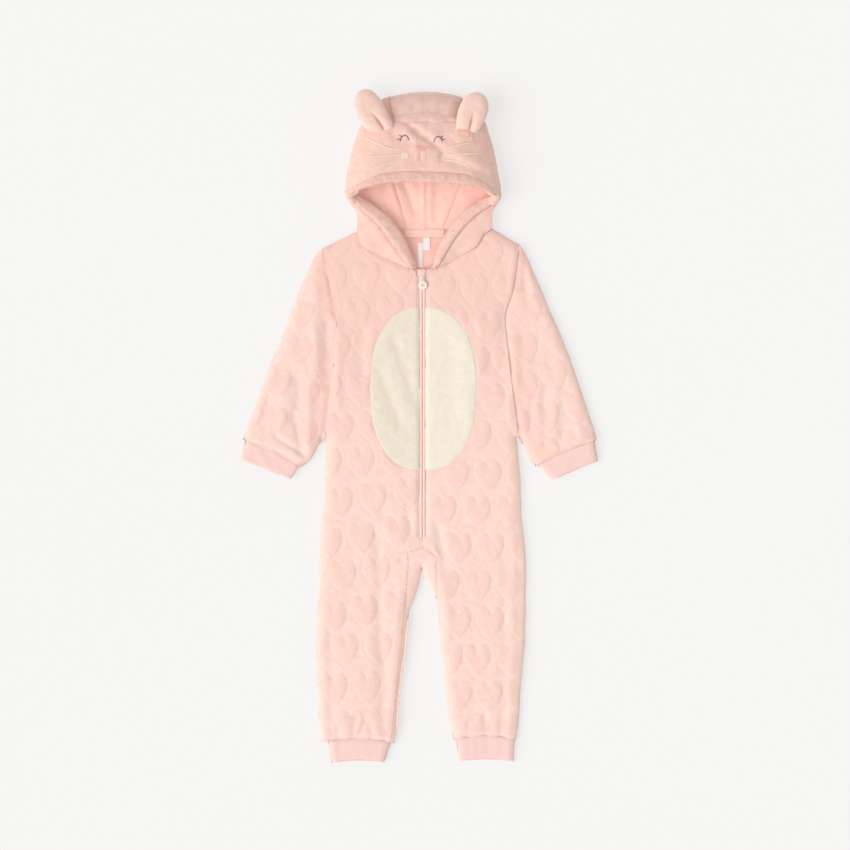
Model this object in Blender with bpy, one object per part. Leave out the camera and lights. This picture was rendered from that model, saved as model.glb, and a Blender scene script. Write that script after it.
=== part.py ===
"""Hooded plush onesie for a toddler, laid flat on its back with the zip closed.

All sizes are in millimetres. +X is to the right as one looks down on the garment, +Y runs from
the ankles to the hood and +Z is up. While the pieces are made, x = 0 is the zip and y = 0 is the
crotch; the finished garment is then moved so that the middle of its underside is the origin.
"""
import math

import bmesh
import bpy
import numpy as np
from mathutils import Vector
from mathutils.geometry import delaunay_2d_cdt

MM = 0.001
WELD = 0.03             # points of one piece that are closer than this are one point

# Thicknesses and heights above the surface that the garment lies on
BACK_THICK = 3.0        # back panel and hood back
SEAM_LOW = 3.3          # underside of a front panel where it meets the back
SEAM_HIGH = 4.5         # its outer side there
FRONT_LOW = 6.2         # underside of a front panel away from its seams
FRONT_HIGH = 9.8        # its outer side there
SIDE_ROUND = 15.0       # how far a side takes to reach full height
SOFT_ROUND = 4.0        # the same for a turned edge, such as the zip edge
SOFT_DROP = 1.6
SEW_GAP = 0.2           # each piece stops this far short of its seam line

# Raised hearts of the plush
HEART_WIDE = 35.0
HEART_TALL = 41.0
HEART_RISE = 2.3
HEART_HALF = [(0, 0.62), (0.22, 0.92), (0.52, 1.0), (0.86, 0.8), (1.0, 0.36), (0.88, -0.1),
              (0.48, -0.62), (0, -1.0)]     # right half, from the cleft to the tip
HEART_SHOULDER = 0.78   # size of the inner ring against the outline
HEART_SHARP = 22.0      # edges that turn more than this, in degrees, stay crisp
HEART_EDGE = 3.0        # least distance of a heart from the panel's edge
HEART_HALF_IN = 9.0     # least distance of its middle

# Zip
ZIP_EDGE = 4.0          # half the strip that shows
ZIP_TOP = 389.6         # where the zip edge turns out to the guard
TAPE_TOP = 396.0
ZIP_FOOT = 38.0
TAPE_HALF = 11.0
TAPE_LOW = 4.8
TAPE_HIGH = 5.8
COIL_HALF = 2.2
COIL_HIGH = 7.6

# Sleeve and cuff tubes
TUBE_MID = 4.8          # height of the fold at a tube's two sides
TUBE_WALL = 3.0
SLEEVE_GAP = 0.6        # between the sleeve and the body
SLEEVE_HIGH = 9.8
SLEEVE_HOLLOW = (3.0, 6.6)
CUFF_WALL = 2.4
CUFF_GAP = 0.9
CUFF_HIGH = 8.6
CUFF_HOLLOW = (2.4, 5.6)

# Hood
HOOD_RIM = 8.3          # top of the hood back's turned-up sides
HOOD_LOW = 8.6          # lower edge of the face panel at the hood's sides
HOOD_WALL = 3.2
HOOD_ARCH = 50.0        # how far the arch takes to reach full height
HOOD_FOREHEAD = (595.0, 31.0)    # y and height where crown and face meet
HOOD_BRIM = (525.0, 43.0)        # y and height at the brim

# Seam lines: control points (x, y) that a smooth curve runs through
LEFT_ARMHOLE = [(-134, 427), (-130, 410), (-125, 381), (-119, 352), (-115, 330)]
LEFT_SIDE = [(-115, 330), (-120, 262), (-128, 185), (-134, 88), (-139, 12), (-142, -67),
             (-143, -121), (-141, -170), (-140, -215), (-136, -238)]
LEFT_ANKLE = [(-136, -238), (-88, -234), (-42.5, -239)]
LEFT_INSEAM = [(-20.3, 17.6), (-18.5, 3), (-21, -22), (-22, -45), (-26.5, -85), (-29.5, -115),
               (-34.5, -160), (-38, -200), (-42.5, -239)]
LEFT_INSIDE_LEG = [(0, -4), (-2.5, -11), (-5, -25), (-10, -42), (-18, -63.5), (-22.5, -90),
                   (-25, -117), (-30, -150), (-33, -182), (-36, -227), (-39, -239)]
RIGHT_ARMHOLE = [(130.3, 432), (126, 400), (121.5, 368), (114, 350), (110.7, 335)]
RIGHT_SIDE = [(110.7, 335), (113, 300), (119, 250), (126, 184), (132, 110), (134.5, 55),
              (139, 15), (139, -60), (137, -115), (133, -155), (131, -195), (129, -222),
              (125.5, -235)]
RIGHT_ANKLE = [(125.5, -235), (86, -230), (43, -234.5)]
RIGHT_INSIDE_LEG = [(19.5, -46), (21, -60), (23, -82), (24.5, -108), (28, -132), (30, -160),
                    (32.5, -184), (36, -206), (38.5, -225), (43, -234.5)]
RIGHT_CROTCH = [(0, -4), (2.5, -11), (6, -20), (11.5, -31), (19.5, -46)]
RIGHT_INSEAM = [(21.5, 8), (18.2, 4), (19.4, -10), (19.4, -26), (19.5, -46)]
GUSSET_TOP_LEFT = [(0, 24), (-9.6, 20.5), (-20.3, 17.6)]
GUSSET_TOP_RIGHT = [(0, 24), (11, 17.5), (21.5, 8)]
LEFT_SHOULDER = [(-88, 450), (-134, 427)]
RIGHT_SHOULDER = [(93.5, 454), (130.3, 432)]
LEFT_NECK = [(-88, 450), (-81.7, 431), (-54.7, 416), (-27.7, 403.7), (-9, 397.5)]
RIGHT_NECK = [(93.5, 454), (82, 447), (72.2, 429.5), (52, 418.5), (33, 406), (9.5, 397.3)]
BACK_NECK = [(-88, 450), (-22, 452.6), (28, 452.6), (93.5, 454)]

# Sleeves: outer fold and underarm fold, from the armhole to the wrist
LEFT_SLEEVE_OUT = [(-134, 427), (-143.8, 421), (-163, 379), (-180, 336), (-191, 304),
                   (-210, 260), (-225, 217), (-238.5, 183), (-240.5, 170)]
LEFT_SLEEVE_IN = [(-115, 330), (-120.8, 262), (-126, 218), (-131, 181), (-139.7, 162),
                  (-150.5, 142), (-163, 134)]
LEFT_WRIST = [(-240.5, 170), (-201.7, 154.4), (-163, 134)]
RIGHT_SLEEVE_OUT = [(130.3, 432), (139, 421), (157.5, 379), (174.5, 337), (185.6, 314),
                    (202, 271), (216.5, 228), (231, 186), (233.5, 169.5)]
RIGHT_SLEEVE_IN = [(110.7, 335), (114, 300), (120, 250), (126, 205), (131.6, 173),
                   (137, 160), (144, 142), (153, 134.8)]
RIGHT_WRIST = [(233.5, 169.5), (193, 154), (153, 134.8)]

# Cuffs: near edge at the seam and far edge at the opening, each from left to right
CUFFS = [
    # name, seam start, seam end, seam bow, opening start, opening end, opening bow
    ("wrist_cuff_left", (-238, 168), (-166, 134.5), 2.2, (-245.5, 142.5), (-178, 115.5), 1.5),
    ("wrist_cuff_right", (155.5, 136), (231, 167.5), 2.2, (175, 115), (236.5, 140.5), 1.5),
    ("ankle_cuff_left", (-127, -237), (-44, -239.4), 3.0, (-122, -266), (-52, -266), 4.5),
    ("ankle_cuff_right", (46.2, -234), (124, -234), 3.5, (49.5, -264), (123, -264.5), 4.0),
]

# Belly patch: centre, half width, half height and the power that squares its oval
BELLY = {"x": 1.0, "y": 238.0, "half_wide": 71.0, "half_tall": 110.0, "power": 2.4}

# Hood lines
HOOD_LEFT = [(-88, 450.6), (-87.5, 462), (-88.4, 477), (-98, 488), (-104.6, 504), (-103.3, 521),
             (-99, 542), (-93, 565), (-87, 584), (-81.7, 596)]
HOOD_LEFT_TOP = [(-81.7, 596), (-74, 611), (-64, 622), (-53, 629), (-43.7, 632.5)]
HOOD_RIGHT = [(93.5, 454), (91.5, 463), (94, 477), (101, 488), (106, 503), (103.3, 521),
              (99, 546), (94, 568), (89, 583), (86, 594)]
HOOD_RIGHT_TOP = [(86, 594), (78, 610), (68, 621), (60, 626), (52.5, 629.5)]
FACE_TOP = [(-81.7, 596), (-36, 596), (44, 596), (86, 594)]
FACE_BRIM = [(-104.6, 503), (-97, 505.6), (-87, 512.4), (-53, 527), (-2, 529.5), (64, 524),
             (86, 512.3), (97, 505.5), (106, 502)]
TEMPLE_LEFT = [(-43.5, 632.5), (-42.9, 619), (-41.2, 608), (-38, 596.4)]
TEMPLE_RIGHT = [(52.5, 629.5), (51.2, 619), (48.2, 608), (45, 596.4)]

HOOD_CENTRE = [
    # y, height, left edge, right edge, how much further out the middle is:
    # the outer side, from the neck along the surface and round the crown to the forehead
    (453.0, 0.0, -21.8, 27.8, 0),
    (487, 0.0, -30.2, 41.3, 0),
    (514, 0.0, -38.5, 51.8, 0),
    (560, 0.0, -39.8, 51.8, 0),
    (600, 0.0, -41.8, 51.8, 2),
    (619, 0.0, -42.6, 52.0, 5),
    (627, 2.5, -43.0, 52.2, 6.5),
    (631, 8.0, -43.3, 52.3, 7),
    (630.5, 15.0, -43.3, 52.3, 7),
    (627, 21.5, -42.8, 51.5, 6.5),
    (619, 27.0, -41.5, 50.0, 4.5),
    (608, 29.8, -39.5, 47.0, 2),
    (596.6, 31.0, -36.5, 44.0, 0),
]
HOOD_FLAT_ROWS = 6      # rows of the centre strip that lie on the surface

HOOD_HEMS = [
    # name, then rows of x, y, width across, height of the middle
    ("hood_hem_left", [(-96.0, 496.5, 7, 13), (-80.5, 486.5, 13, 14), (-57.5, 469, 15.5, 14.5),
                       (-44.5, 454.5, 17, 14.2), (-34, 439.5, 17, 13.4),
                       (-25.6, 425, 14.5, 12.4), (-17.6, 410, 10.5, 11.2), (-13.4, 401.5, 8, 10.6)]),
    ("hood_hem_right", [(99.5, 494.2, 7, 13), (82, 487.5, 12.5, 14), (63, 474.5, 13.5, 14.5),
                        (47.5, 458.5, 12.5, 14.2), (34.5, 440, 11.5, 13.4),
                        (26, 425, 10.5, 12.4), (18.5, 409, 9, 11.2), (15.2, 401.5, 7, 10.6)]),
]
HEM_THICK = 6.4
BRIM_HEM = [
    # x, y, width across
    (-97.5, 501.4, 4.5), (-88, 508.0, 6.5), (-70, 514.5, 9.4), (-51, 519.4, 11.6),
    (-2, 522.2, 12.6), (58, 517.8, 11.6), (76, 512.5, 9.4), (90, 505.3, 6.5), (98.5, 500.2, 4.5),
]
BRIM_LIFT = 6.0         # height of the brim's middle above the hem's at the corners

FLAP_LEFT = [(-88.4, 451.5), (-88.4, 477), (-98, 488), (-100.5, 494.5)]
FLAP_RIGHT = [(93.6, 455.5), (94, 477), (101, 488), (103, 492.5)]
FLAP_LOW = 4.2          # underside near the zip; over the hood's rim it is higher
FLAP_THICK = 3.2
FLAP_SWELL = 1.8
FLAP_GAP = 0.5          # between a flap and the hem beside it
FLAP_FOOT = 1.5         # how far its lowest corner stays above the hem's end

# Ears: outline (x, y) and the heights of the underside at the tip and at the base
EARS = [
    {"name": "ear_left", "base": (-58, 590), "tip": (-76, 641), "crease": ((-71, 613), (-53, 592)),
     "outline": [(-52, 590), (-44, 602), (-46.5, 616), (-54, 630), (-64.5, 640), (-76, 641.5),
                 (-88, 635), (-92.5, 621), (-88, 606), (-80, 594), (-67, 586.5)]},
    {"name": "ear_right", "base": (61, 590), "tip": (76, 638), "crease": ((71, 616), (63, 592)),
     "outline": [(47, 591), (45.5, 603), (49.5, 617), (58, 630), (70, 637.5), (82, 635.5),
                 (89, 624), (88, 609), (82.5, 597), (76, 589.5), (61, 586.5)]},
]
EAR_THICK = 15.0
EAR_TIP_LOW = 17.0
EAR_BASE_LOW = 31.6

# Main creases of the cloth: positive heights are ridges, negative ones are troughs
CREASES = [
    # x and y at each end, half width, height
    (-60, 284, -14, 189, 11, -1.0),
    (37, 310, 37, 182, 10, 0.9),
    (-91, -205, -95, -236, 5, -1.2),
    (84, -203, 84, -232, 5, -1.2),
    (-70, 60, -22, 34, 8, 1.0),
    (60, 50, 26, 26, 8, 1.0),
    (-141, 398, -150, 300, 9, 1.0),
    (-152, 290, -156, 169, 8, 1.2),
    (-170, 243, -161, 155, 7, -1.5),
    (-186, 236, -190, 172, 8, 1.0),
    (132, 398, 136, 337, 8, 1.0),
    (157, 317, 160, 172, 8, 1.2),
    (168, 263, 170, 176, 6, -1.5),
    (145, 238, 146, 200, 6, -1.2),
    (179, 223, 184, 168, 7, 1.0),
]

FACE_CREASES = [
    (-17, 590, -6, 578, 7, -1.2),
    (-6, 578, 8, 572, 7, -1.6),
    (8, 572, 20, 556, 7, -1.6),
    (28, 550, 66, 536, 7, -1.2),
]

# Zip slider, pull, guard and the ear's flower
PULL_AXIS_Y = 386.6
SLIDER = {"y_low": 378.2, "y_high": 389.4, "half_wide": 4.0, "top": 9.8,
          "arch_foot": 2.2, "arch_rise": 2.6, "arch_thick": 0.8, "arch_half": 0.8}
PULL = {"flower_y": 377.3, "radius": 6.5, "thick": 2.2, "bar_radius": 0.6, "boss": 2.3,
        "arm_in": 1.1, "arm_out": 2.1}
GUARD = {"low": (-7.4, 391.0, 6.2), "high": (7.4, 400.8, 9.9)}
APPLIQUE = {"centre": (54, 580), "radius": 14.5, "disc": 6.5}

PLUSH = ("peach plush", (0.92, 0.66, 0.59), 0.95)
CREAM = ("cream plush", (0.89, 0.80, 0.67), 0.95)
KNIT = ("pink knit", (0.90, 0.62, 0.58), 0.85)
TAPE = ("zip tape", (0.88, 0.56, 0.47), 0.7)
METAL = ("painted zip slider", (0.87, 0.62, 0.56), 0.4)
RUBBER = ("cream moulded pull", (0.90, 0.86, 0.72), 0.45)
LABEL = ("white label", (0.93, 0.92, 0.90), 0.6)


# ---------------------------------------------------------------- lines and distances

def smooth_line(controls, step=12.0):
    """Points along a Catmull-Rom curve through the control points."""
    points = [np.array(p, float) for p in controls]
    if len(points) == 2:
        count = max(1, round(np.linalg.norm(points[1] - points[0]) / step))
        return [points[0] + (points[1] - points[0]) * i / count for i in range(count + 1)]
    ends = [2 * points[0] - points[1]] + points + [2 * points[-1] - points[-2]]
    line = []
    for a, b, c, d in zip(ends, ends[1:], ends[2:], ends[3:]):
        count = max(1, round(np.linalg.norm(c - b) / step))
        for i in range(count):
            t = i / count
            line.append(0.5 * (2 * b + (c - a) * t + (2 * a - 5 * b + 4 * c - d) * t ** 2
                               + (3 * b - a - 3 * c + d) * t ** 3))
    line.append(points[-1])
    return line


def smooth_loop(controls, step=6.0):
    """Points round a closed smooth curve."""
    count = len(controls)
    wrapped = [controls[i % count] for i in range(-1, count + 2)]
    line = smooth_line(wrapped, step)
    start = next(i for i, p in enumerate(line) if np.allclose(p, controls[0]))
    stop = next(i for i in range(start + 1, len(line)) if np.allclose(line[i], controls[0]))
    return line[start:stop]


def join(*lines):
    """One closed outline from lines that follow each other, anticlockwise."""
    outline = []
    for line in lines:
        for point in line:
            if not any(np.linalg.norm(point - old) < 0.01 for old in outline):
                outline.append(np.array(point, float))
    if signed_area(outline) < 0:
        outline.reverse()
    return outline


def signed_area(outline):
    p = np.array(outline)
    q = np.roll(p, -1, axis=0)
    return 0.5 * float(np.sum(p[:, 0] * q[:, 1] - q[:, 0] * p[:, 1]))


def inward_normals(outline):
    p = np.array(outline)
    along = np.roll(p, -1, axis=0) - p
    along /= np.linalg.norm(along, axis=1)[:, None]
    mean = along + np.roll(along, 1, axis=0)
    mean /= np.maximum(np.linalg.norm(mean, axis=1)[:, None], 1e-6)
    return np.stack([-mean[:, 1], mean[:, 0]], axis=1)


def shrink(outline, amount=SEW_GAP):
    """The outline moved in, so that neighbours keep a gap at their seam."""
    return list(np.array(outline) + inward_normals(outline) * amount)


def distance(points, *lines):
    """Distance of each point to the nearest of the lines."""
    points = np.atleast_2d(np.array(points, float))
    best = np.full(len(points), 1e9)
    for line in lines:
        line = np.array(line, float)
        for a, b in zip(line, line[1:]):
            along = b - a
            t = np.clip(((points - a) @ along) / max(along @ along, 1e-9), 0, 1)
            gap = np.linalg.norm(points - (a + t[:, None] * along), axis=1)
            best = np.minimum(best, gap)
    return best


def inside(points, outline):
    """Which points lie inside a closed outline."""
    points = np.atleast_2d(np.array(points, float))
    hit = np.zeros(len(points), bool)
    previous = outline[-1]
    for current in outline:
        crosses = (current[1] > points[:, 1]) != (previous[1] > points[:, 1])
        rise = previous[1] - current[1]
        x_cross = (previous[0] - current[0]) * (points[:, 1] - current[1]) / (rise or 1e-9) + current[0]
        hit ^= crosses & (points[:, 0] < x_cross)
        previous = current
    return hit


def closed(outline):
    return list(outline) + [outline[0]]


def quarter(t):
    """Rise of a quarter circle, from 0 at t = 0 to 1 at t = 1 and beyond."""
    t = np.clip(t, 0, 1)
    return np.sqrt(1 - (1 - t) ** 2)


def crease_height(points, creases=CREASES):
    """Sum of the ridges and troughs at each point."""
    points = np.atleast_2d(np.array(points, float))
    total = np.zeros(len(points))
    for x0, y0, x1, y1, half_wide, height in creases:
        gap = distance(points, [(x0, y0), (x1, y1)])
        total += height * np.exp(-(gap / half_wide) ** 2 * 1.5)
    return total


def crease_points(creases=CREASES):
    """Mesh points along each crease and down both of its flanks."""
    points = []
    for x0, y0, x1, y1, half_wide, _ in creases:
        start, end = np.array((x0, y0), float), np.array((x1, y1), float)
        along = end - start
        side = np.array((-along[1], along[0])) / np.linalg.norm(along)
        count = max(2, round(np.linalg.norm(along) / 18))
        for i in range(count + 1):
            middle = start + along * i / count
            points += [middle, middle + side * half_wide, middle - side * half_wide]
    return points


# ---------------------------------------------------------------- hearts

def heart_ring(centre, scale, tilt):
    """A heart's outline, tip down."""
    half = [(x * scale * HEART_WIDE / 2, y * scale * HEART_TALL / 2) for x, y in HEART_HALF]
    points = half + [(-x, y) for x, y in half[-2:0:-1]]
    c, s = math.cos(tilt), math.sin(tilt)
    return [np.array((centre[0] + x * c - y * s, centre[1] + x * s + y * c)) for x, y in points]


def heart_lattice(first, across, down, stagger, rows, columns):
    """Heart centres in staggered rows; first is one centre of row 0."""
    centres = []
    for row in range(rows):
        shift = stagger if row % 2 else 0.0
        for column in range(-columns, columns + 1):
            centres.append(np.array(first) + np.array(down) * row + np.array(across) * (column + shift))
    return centres


def fitted_hearts(centres, tilt, outline, keep_off=()):
    """Hearts inside an outline, as rings, cut short where they meet its edge or a patch."""
    hearts = []
    fence = shrink(outline, HEART_EDGE)
    for centre in centres:
        room = distance([centre], closed(outline), *[closed(other) for other in keep_off])[0]
        covered = any(inside([centre], other)[0] for other in keep_off)
        if not inside([centre], outline)[0] or covered or room < HEART_HALF_IN:
            continue
        rings = []
        for scale, margin in ((1.0, 0.0), (HEART_SHOULDER, 3.0)):
            ring = heart_ring(centre, scale, tilt)
            for i, point in enumerate(ring):
                ring[i] = pulled_in(point, np.array(centre), fence, keep_off, margin)
            rings.append(ring)
        if abs(signed_area(rings[1])) > 60:
            hearts.append((np.array(centre), rings[0], rings[1]))
    return hearts


def pulled_in(point, centre, fence, keep_off, margin):
    """The point, moved towards the heart's middle until it is clear of every edge."""
    for step in np.linspace(0, 0.9, 19):
        moved = point + (centre - point) * step
        off_edge = inside([moved], fence)[0] and distance([moved], closed(fence))[0] >= margin
        off_patch = all(not inside([moved], other)[0] and distance([moved], closed(other))[0] > 2 + margin
                        for other in keep_off)
        if off_edge and off_patch:
            return moved
    return moved


def heart_loops(hearts):
    """The hearts' middles, outlines and inner rings as three lists."""
    return [h[0] for h in hearts], [h[1] for h in hearts], [h[2] for h in hearts]


def heart_heights(points, hearts):
    """Rise of the points that lie on a heart's inner ring or at its middle."""
    rise = np.zeros(len(points))
    for centre, _, shoulder in hearts:
        on_ring = distance(points, closed(shoulder)) < 0.05
        on_middle = np.linalg.norm(points - centre, axis=1) < 0.05
        rise += HEART_RISE * (0.85 * on_ring + on_middle)
    return rise


# ---------------------------------------------------------------- meshes

def material(look):
    name, colour, roughness = look
    found = bpy.data.materials.get(name)
    if found:
        return found
    made = bpy.data.materials.new(name)
    made.use_nodes = True
    shader = made.node_tree.nodes["Principled BSDF"]
    shader.inputs["Base Color"].default_value = (*colour, 1)
    shader.inputs["Roughness"].default_value = roughness
    shader.inputs["Metallic"].default_value = 0.0
    return made


def new_object(name, bm, look, smooth_angle=50):
    """Weld, turn the faces out and put the mesh in the scene in metres."""
    bmesh.ops.remove_doubles(bm, verts=bm.verts, dist=WELD)
    bmesh.ops.recalc_face_normals(bm, faces=bm.faces)
    if bm.calc_volume(signed=True) < 0:
        bmesh.ops.reverse_faces(bm, faces=bm.faces)
    bmesh.ops.scale(bm, vec=(MM, MM, MM), verts=bm.verts)
    mesh = bpy.data.meshes.new(name)
    bm.to_mesh(mesh)
    bm.free()
    mesh.shade_smooth()
    mesh.set_sharp_from_angle(angle=math.radians(smooth_angle))
    mesh.materials.append(material(look))
    made = bpy.data.objects.new(name, mesh)
    GARMENT.objects.link(made)
    return made


def triangulate(outline, points=(), loops=()):
    """Triangles that fill an outline and keep the given inner loops as edges."""
    coordinates = [Vector(p) for p in outline]
    edges = []
    for loop in loops:
        first = len(coordinates)
        coordinates += [Vector(p) for p in loop]
        edges += [(first + i, first + (i + 1) % len(loop)) for i in range(len(loop))]
    coordinates += [Vector(p) for p in points]
    border = list(range(len(outline)))
    verts, _, faces, _, _, _ = delaunay_2d_cdt(coordinates, edges, [border], 1, 0.001)
    return np.array([tuple(v) for v in verts]), faces


def add_skin(bm, points, faces, heights, upward=True):
    verts = [bm.verts.new((p[0], p[1], z)) for p, z in zip(points, heights)]
    for face in faces:
        corners = [verts[i] for i in face]
        bm.faces.new(corners if upward else corners[::-1])


def add_strip(bm, first, second):
    """Quads between two rows of 3D points with the same count."""
    a = [bm.verts.new(p) for p in first]
    b = [bm.verts.new(p) for p in second]
    for i in range(len(a) - 1):
        bm.faces.new((a[i], a[i + 1], b[i + 1], b[i]))


def lift(line, height_of):
    """Plan points with the heights that a function gives them."""
    return [(p[0], p[1], z) for p, z in zip(line, height_of(line))]


def grid_points(outline, spacing):
    """Staggered points that fill an outline."""
    p = np.array(outline)
    low, high = p.min(axis=0), p.max(axis=0)
    points = []
    for row in range(int((high[1] - low[1]) / (spacing * 0.87)) + 1):
        start = low[0] + spacing * (0.25 if row % 2 else 0.75)
        xs = np.arange(start, high[0], spacing)
        points += [(x, low[1] + (row + 0.5) * spacing * 0.87) for x in xs]
    return points


def usable(points, outline, edge_gap, loops=(), loop_gap=4.0, apart=5.0):
    """The points that are clear of the outline, of the loops and of each other."""
    points = np.array(points)
    keep = inside(points, outline) & (distance(points, closed(outline)) > edge_gap)
    for loop in loops:
        near = inside(points, loop) | (distance(points, closed(loop)) < loop_gap)
        keep &= ~near
    chosen = []
    for point in points[keep]:
        if all(np.linalg.norm(point - other) > apart for other in chosen):
            chosen.append(point)
    return chosen


def inset_points(outline, insets, lines):
    """Points at set distances inside the stretches of an outline that follow the lines."""
    normals = inward_normals(outline)
    at_line = distance(outline, *lines) < 1.0
    points = []
    for inset in insets:
        moved = np.array(outline)[at_line] + normals[at_line] * inset
        clear = distance(moved, closed(outline)) > inset * 0.9
        points += list(moved[clear])
    return points


def panel(name, outline, top, under, look, hearts=(), loops=(), points=(), grid=20.0, edge_gap=1.0):
    """A cloth panel: a shaped top, a plain underside and a narrow edge between them."""
    middles, rings, shoulders = heart_loops(hearts)
    free = usable(list(points) + grid_points(outline, grid), outline, edge_gap, rings)
    free = [p for p in free if not loops or distance([p], *[closed(l) for l in loops])[0] > 2.5]
    top_points, top_faces = triangulate(outline, free + middles, rings + shoulders + list(loops))
    under_free = usable(grid_points(outline, 2.2 * grid), outline, 6.0)
    under_points, under_faces = triangulate(outline, under_free)
    heights = top(top_points) + heart_heights(top_points, hearts)
    bm = bmesh.new()
    add_skin(bm, top_points, top_faces, heights)
    add_skin(bm, under_points, under_faces, under(under_points), upward=False)
    rim = closed(outline)
    add_strip(bm, lift(rim, under), lift(rim, top))
    made = new_object(name, bm, look, HEART_SHARP if hearts else 50)
    return made, (top_points, top_faces, heights)


def overlay(name, panel_mesh, inside_of, gap, thick, look):
    """A flat piece that lies on a panel, made from the panel's own points moved out."""
    points, faces, heights = panel_mesh
    chosen = [f for f in faces if inside([points[list(f)].mean(axis=0)], inside_of)[0]]
    bm = bmesh.new()
    used = sorted({i for f in chosen for i in f})
    low = {i: bm.verts.new((*points[i], heights[i] + gap)) for i in used}
    high = {i: bm.verts.new((*points[i], heights[i] + gap + thick)) for i in used}
    seen = {}
    for face in chosen:
        bm.faces.new([high[i] for i in face])
        bm.faces.new([low[i] for i in reversed(face)])
        for a, b in zip(face, face[1:] + face[:1]):
            seen[frozenset((a, b))] = None if frozenset((a, b)) in seen else (a, b)
    for edge in seen.values():
        if edge:
            a, b = edge
            bm.faces.new((low[a], low[b], high[b], high[a]))
    return new_object(name, bm, look)


def ring_loft(name, rings, look):
    """A solid through closed rings of 3D points, capped at both ends."""
    bm = bmesh.new()
    loops = [[bm.verts.new(p) for p in ring] for ring in rings]
    for one, two in zip(loops, loops[1:]):
        for i in range(len(one)):
            j = (i + 1) % len(one)
            bm.faces.new((one[i], one[j], two[j], two[i]))
    bm.faces.new(loops[0][::-1])
    bm.faces.new(loops[-1])
    bmesh.ops.triangulate(bm, faces=[f for f in bm.faces if len(f.verts) > 4])
    return new_object(name, bm, look)


def resample(line, count):
    """The line as count points, evenly spaced along it."""
    line = np.array(line, float)
    steps = np.concatenate([[0], np.cumsum(np.linalg.norm(np.diff(line, axis=0), axis=1))])
    at = np.linspace(0, steps[-1], count)
    return [np.array((np.interp(a, steps, line[:, 0]), np.interp(a, steps, line[:, 1]))) for a in at]


def trimmed(line, amount, count):
    """The line cut short by amount at both ends, as count points."""
    line = np.array(resample(line, 60))
    steps = np.concatenate([[0], np.cumsum(np.linalg.norm(np.diff(line, axis=0), axis=1))])
    at = np.linspace(amount, steps[-1] - amount, count)
    return [np.array((np.interp(a, steps, line[:, 0]), np.interp(a, steps, line[:, 1]))) for a in at]


def flat_tube(name, left, right, near_ends, far_ends, wall, high, hollow, look,
              hearts=(), creases=False, across=8, side_round=13.0, grid=20.0):
    """A cloth tube pressed flat and open at both ends.

    left and right are its two side folds, from the near end to the far end. near_ends and
    far_ends each hold the upper and the lower edge of that end, from left to right.
    """
    left, right = [np.array(p) for p in left], [np.array(p) for p in right]

    def outline_of(a, b, near, far):
        return join(a, far, b[::-1], near[::-1])

    near = [[left[0]] + resample(e, across)[1:-1] + [right[0]] for e in near_ends]
    far = [[left[-1]] + resample(e, across)[1:-1] + [right[-1]] for e in far_ends]
    whole = outline_of(left, right, near[0], far[0])
    normals = inward_normals(whole)

    def inset(line):
        moved = []
        for point in line[1:-1]:
            at = int(np.argmin(np.linalg.norm(np.array(whole) - point, axis=1)))
            moved.append(point + normals[at] * wall)
        return moved

    inner_near = [trimmed(e, wall, across) for e in near]
    inner_far = [trimmed(e, wall, across) for e in far]
    for ends in (inner_near, inner_far):
        ends[1][0], ends[1][-1] = ends[0][0], ends[0][-1]
    inner_left = [inner_near[0][0]] + inset(left) + [inner_far[0][0]]
    inner_right = [inner_near[0][-1]] + inset(right) + [inner_far[0][-1]]

    def outer_top(p):
        rise = TUBE_MID + (high - TUBE_MID) * quarter(distance(p, left, right) / side_round)
        if not creases:
            return rise
        fade = np.clip(distance(p, left, right) / side_round, 0, 1)
        return rise + crease_height(p) * fade

    def outer_under(p):
        return TUBE_MID * (1 - quarter(distance(p, left, right) / 6.0))

    def inner_top(p):
        to_fold = distance(p, inner_left, inner_right)
        return TUBE_MID + (hollow[1] - TUBE_MID) * quarter(to_fold / side_round)

    def inner_under(p):
        to_fold = distance(p, inner_left, inner_right)
        return TUBE_MID - (TUBE_MID - hollow[0]) * quarter(to_fold / 6.0)

    middles, rings, shoulders = heart_loops(hearts)
    bm = bmesh.new()
    skins = [
        # side lines, end index, height function, faces up, is the shaped top
        (left, right, near[0], far[0], outer_top, True, True),
        (left, right, near[1], far[1], outer_under, False, False),
        (inner_left, inner_right, inner_near[0], inner_far[0], inner_top, False, False),
        (inner_left, inner_right, inner_near[1], inner_far[1], inner_under, True, False),
    ]
    for a, b, near_line, far_line, height_of, upward, shaped in skins:
        outline = outline_of(a, b, near_line, far_line)
        spacing = grid if shaped else 2 * grid
        free = inset_points(outline, (2.0, 6.0), (a, b))
        extra = crease_points() if creases and shaped else []
        free = usable(free + extra + grid_points(outline, spacing), outline, 1.2,
                      rings if shaped else ())
        loops = rings + shoulders if shaped else ()
        points, faces = triangulate(outline, free + (middles if shaped else []), loops)
        heights = height_of(points)
        if shaped:
            heights = heights + heart_heights(points, hearts)
        add_skin(bm, points, faces, heights, upward)
    for outer_lines, inner_lines in ((near, inner_near), (far, inner_far)):
        add_strip(bm, lift(outer_lines[0], outer_top), lift(inner_lines[0], inner_top))
        add_strip(bm, lift(outer_lines[1], outer_under), lift(inner_lines[1], inner_under))
    return new_object(name, bm, look, HEART_SHARP if hearts else 50)


# ---------------------------------------------------------------- garment pieces

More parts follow.
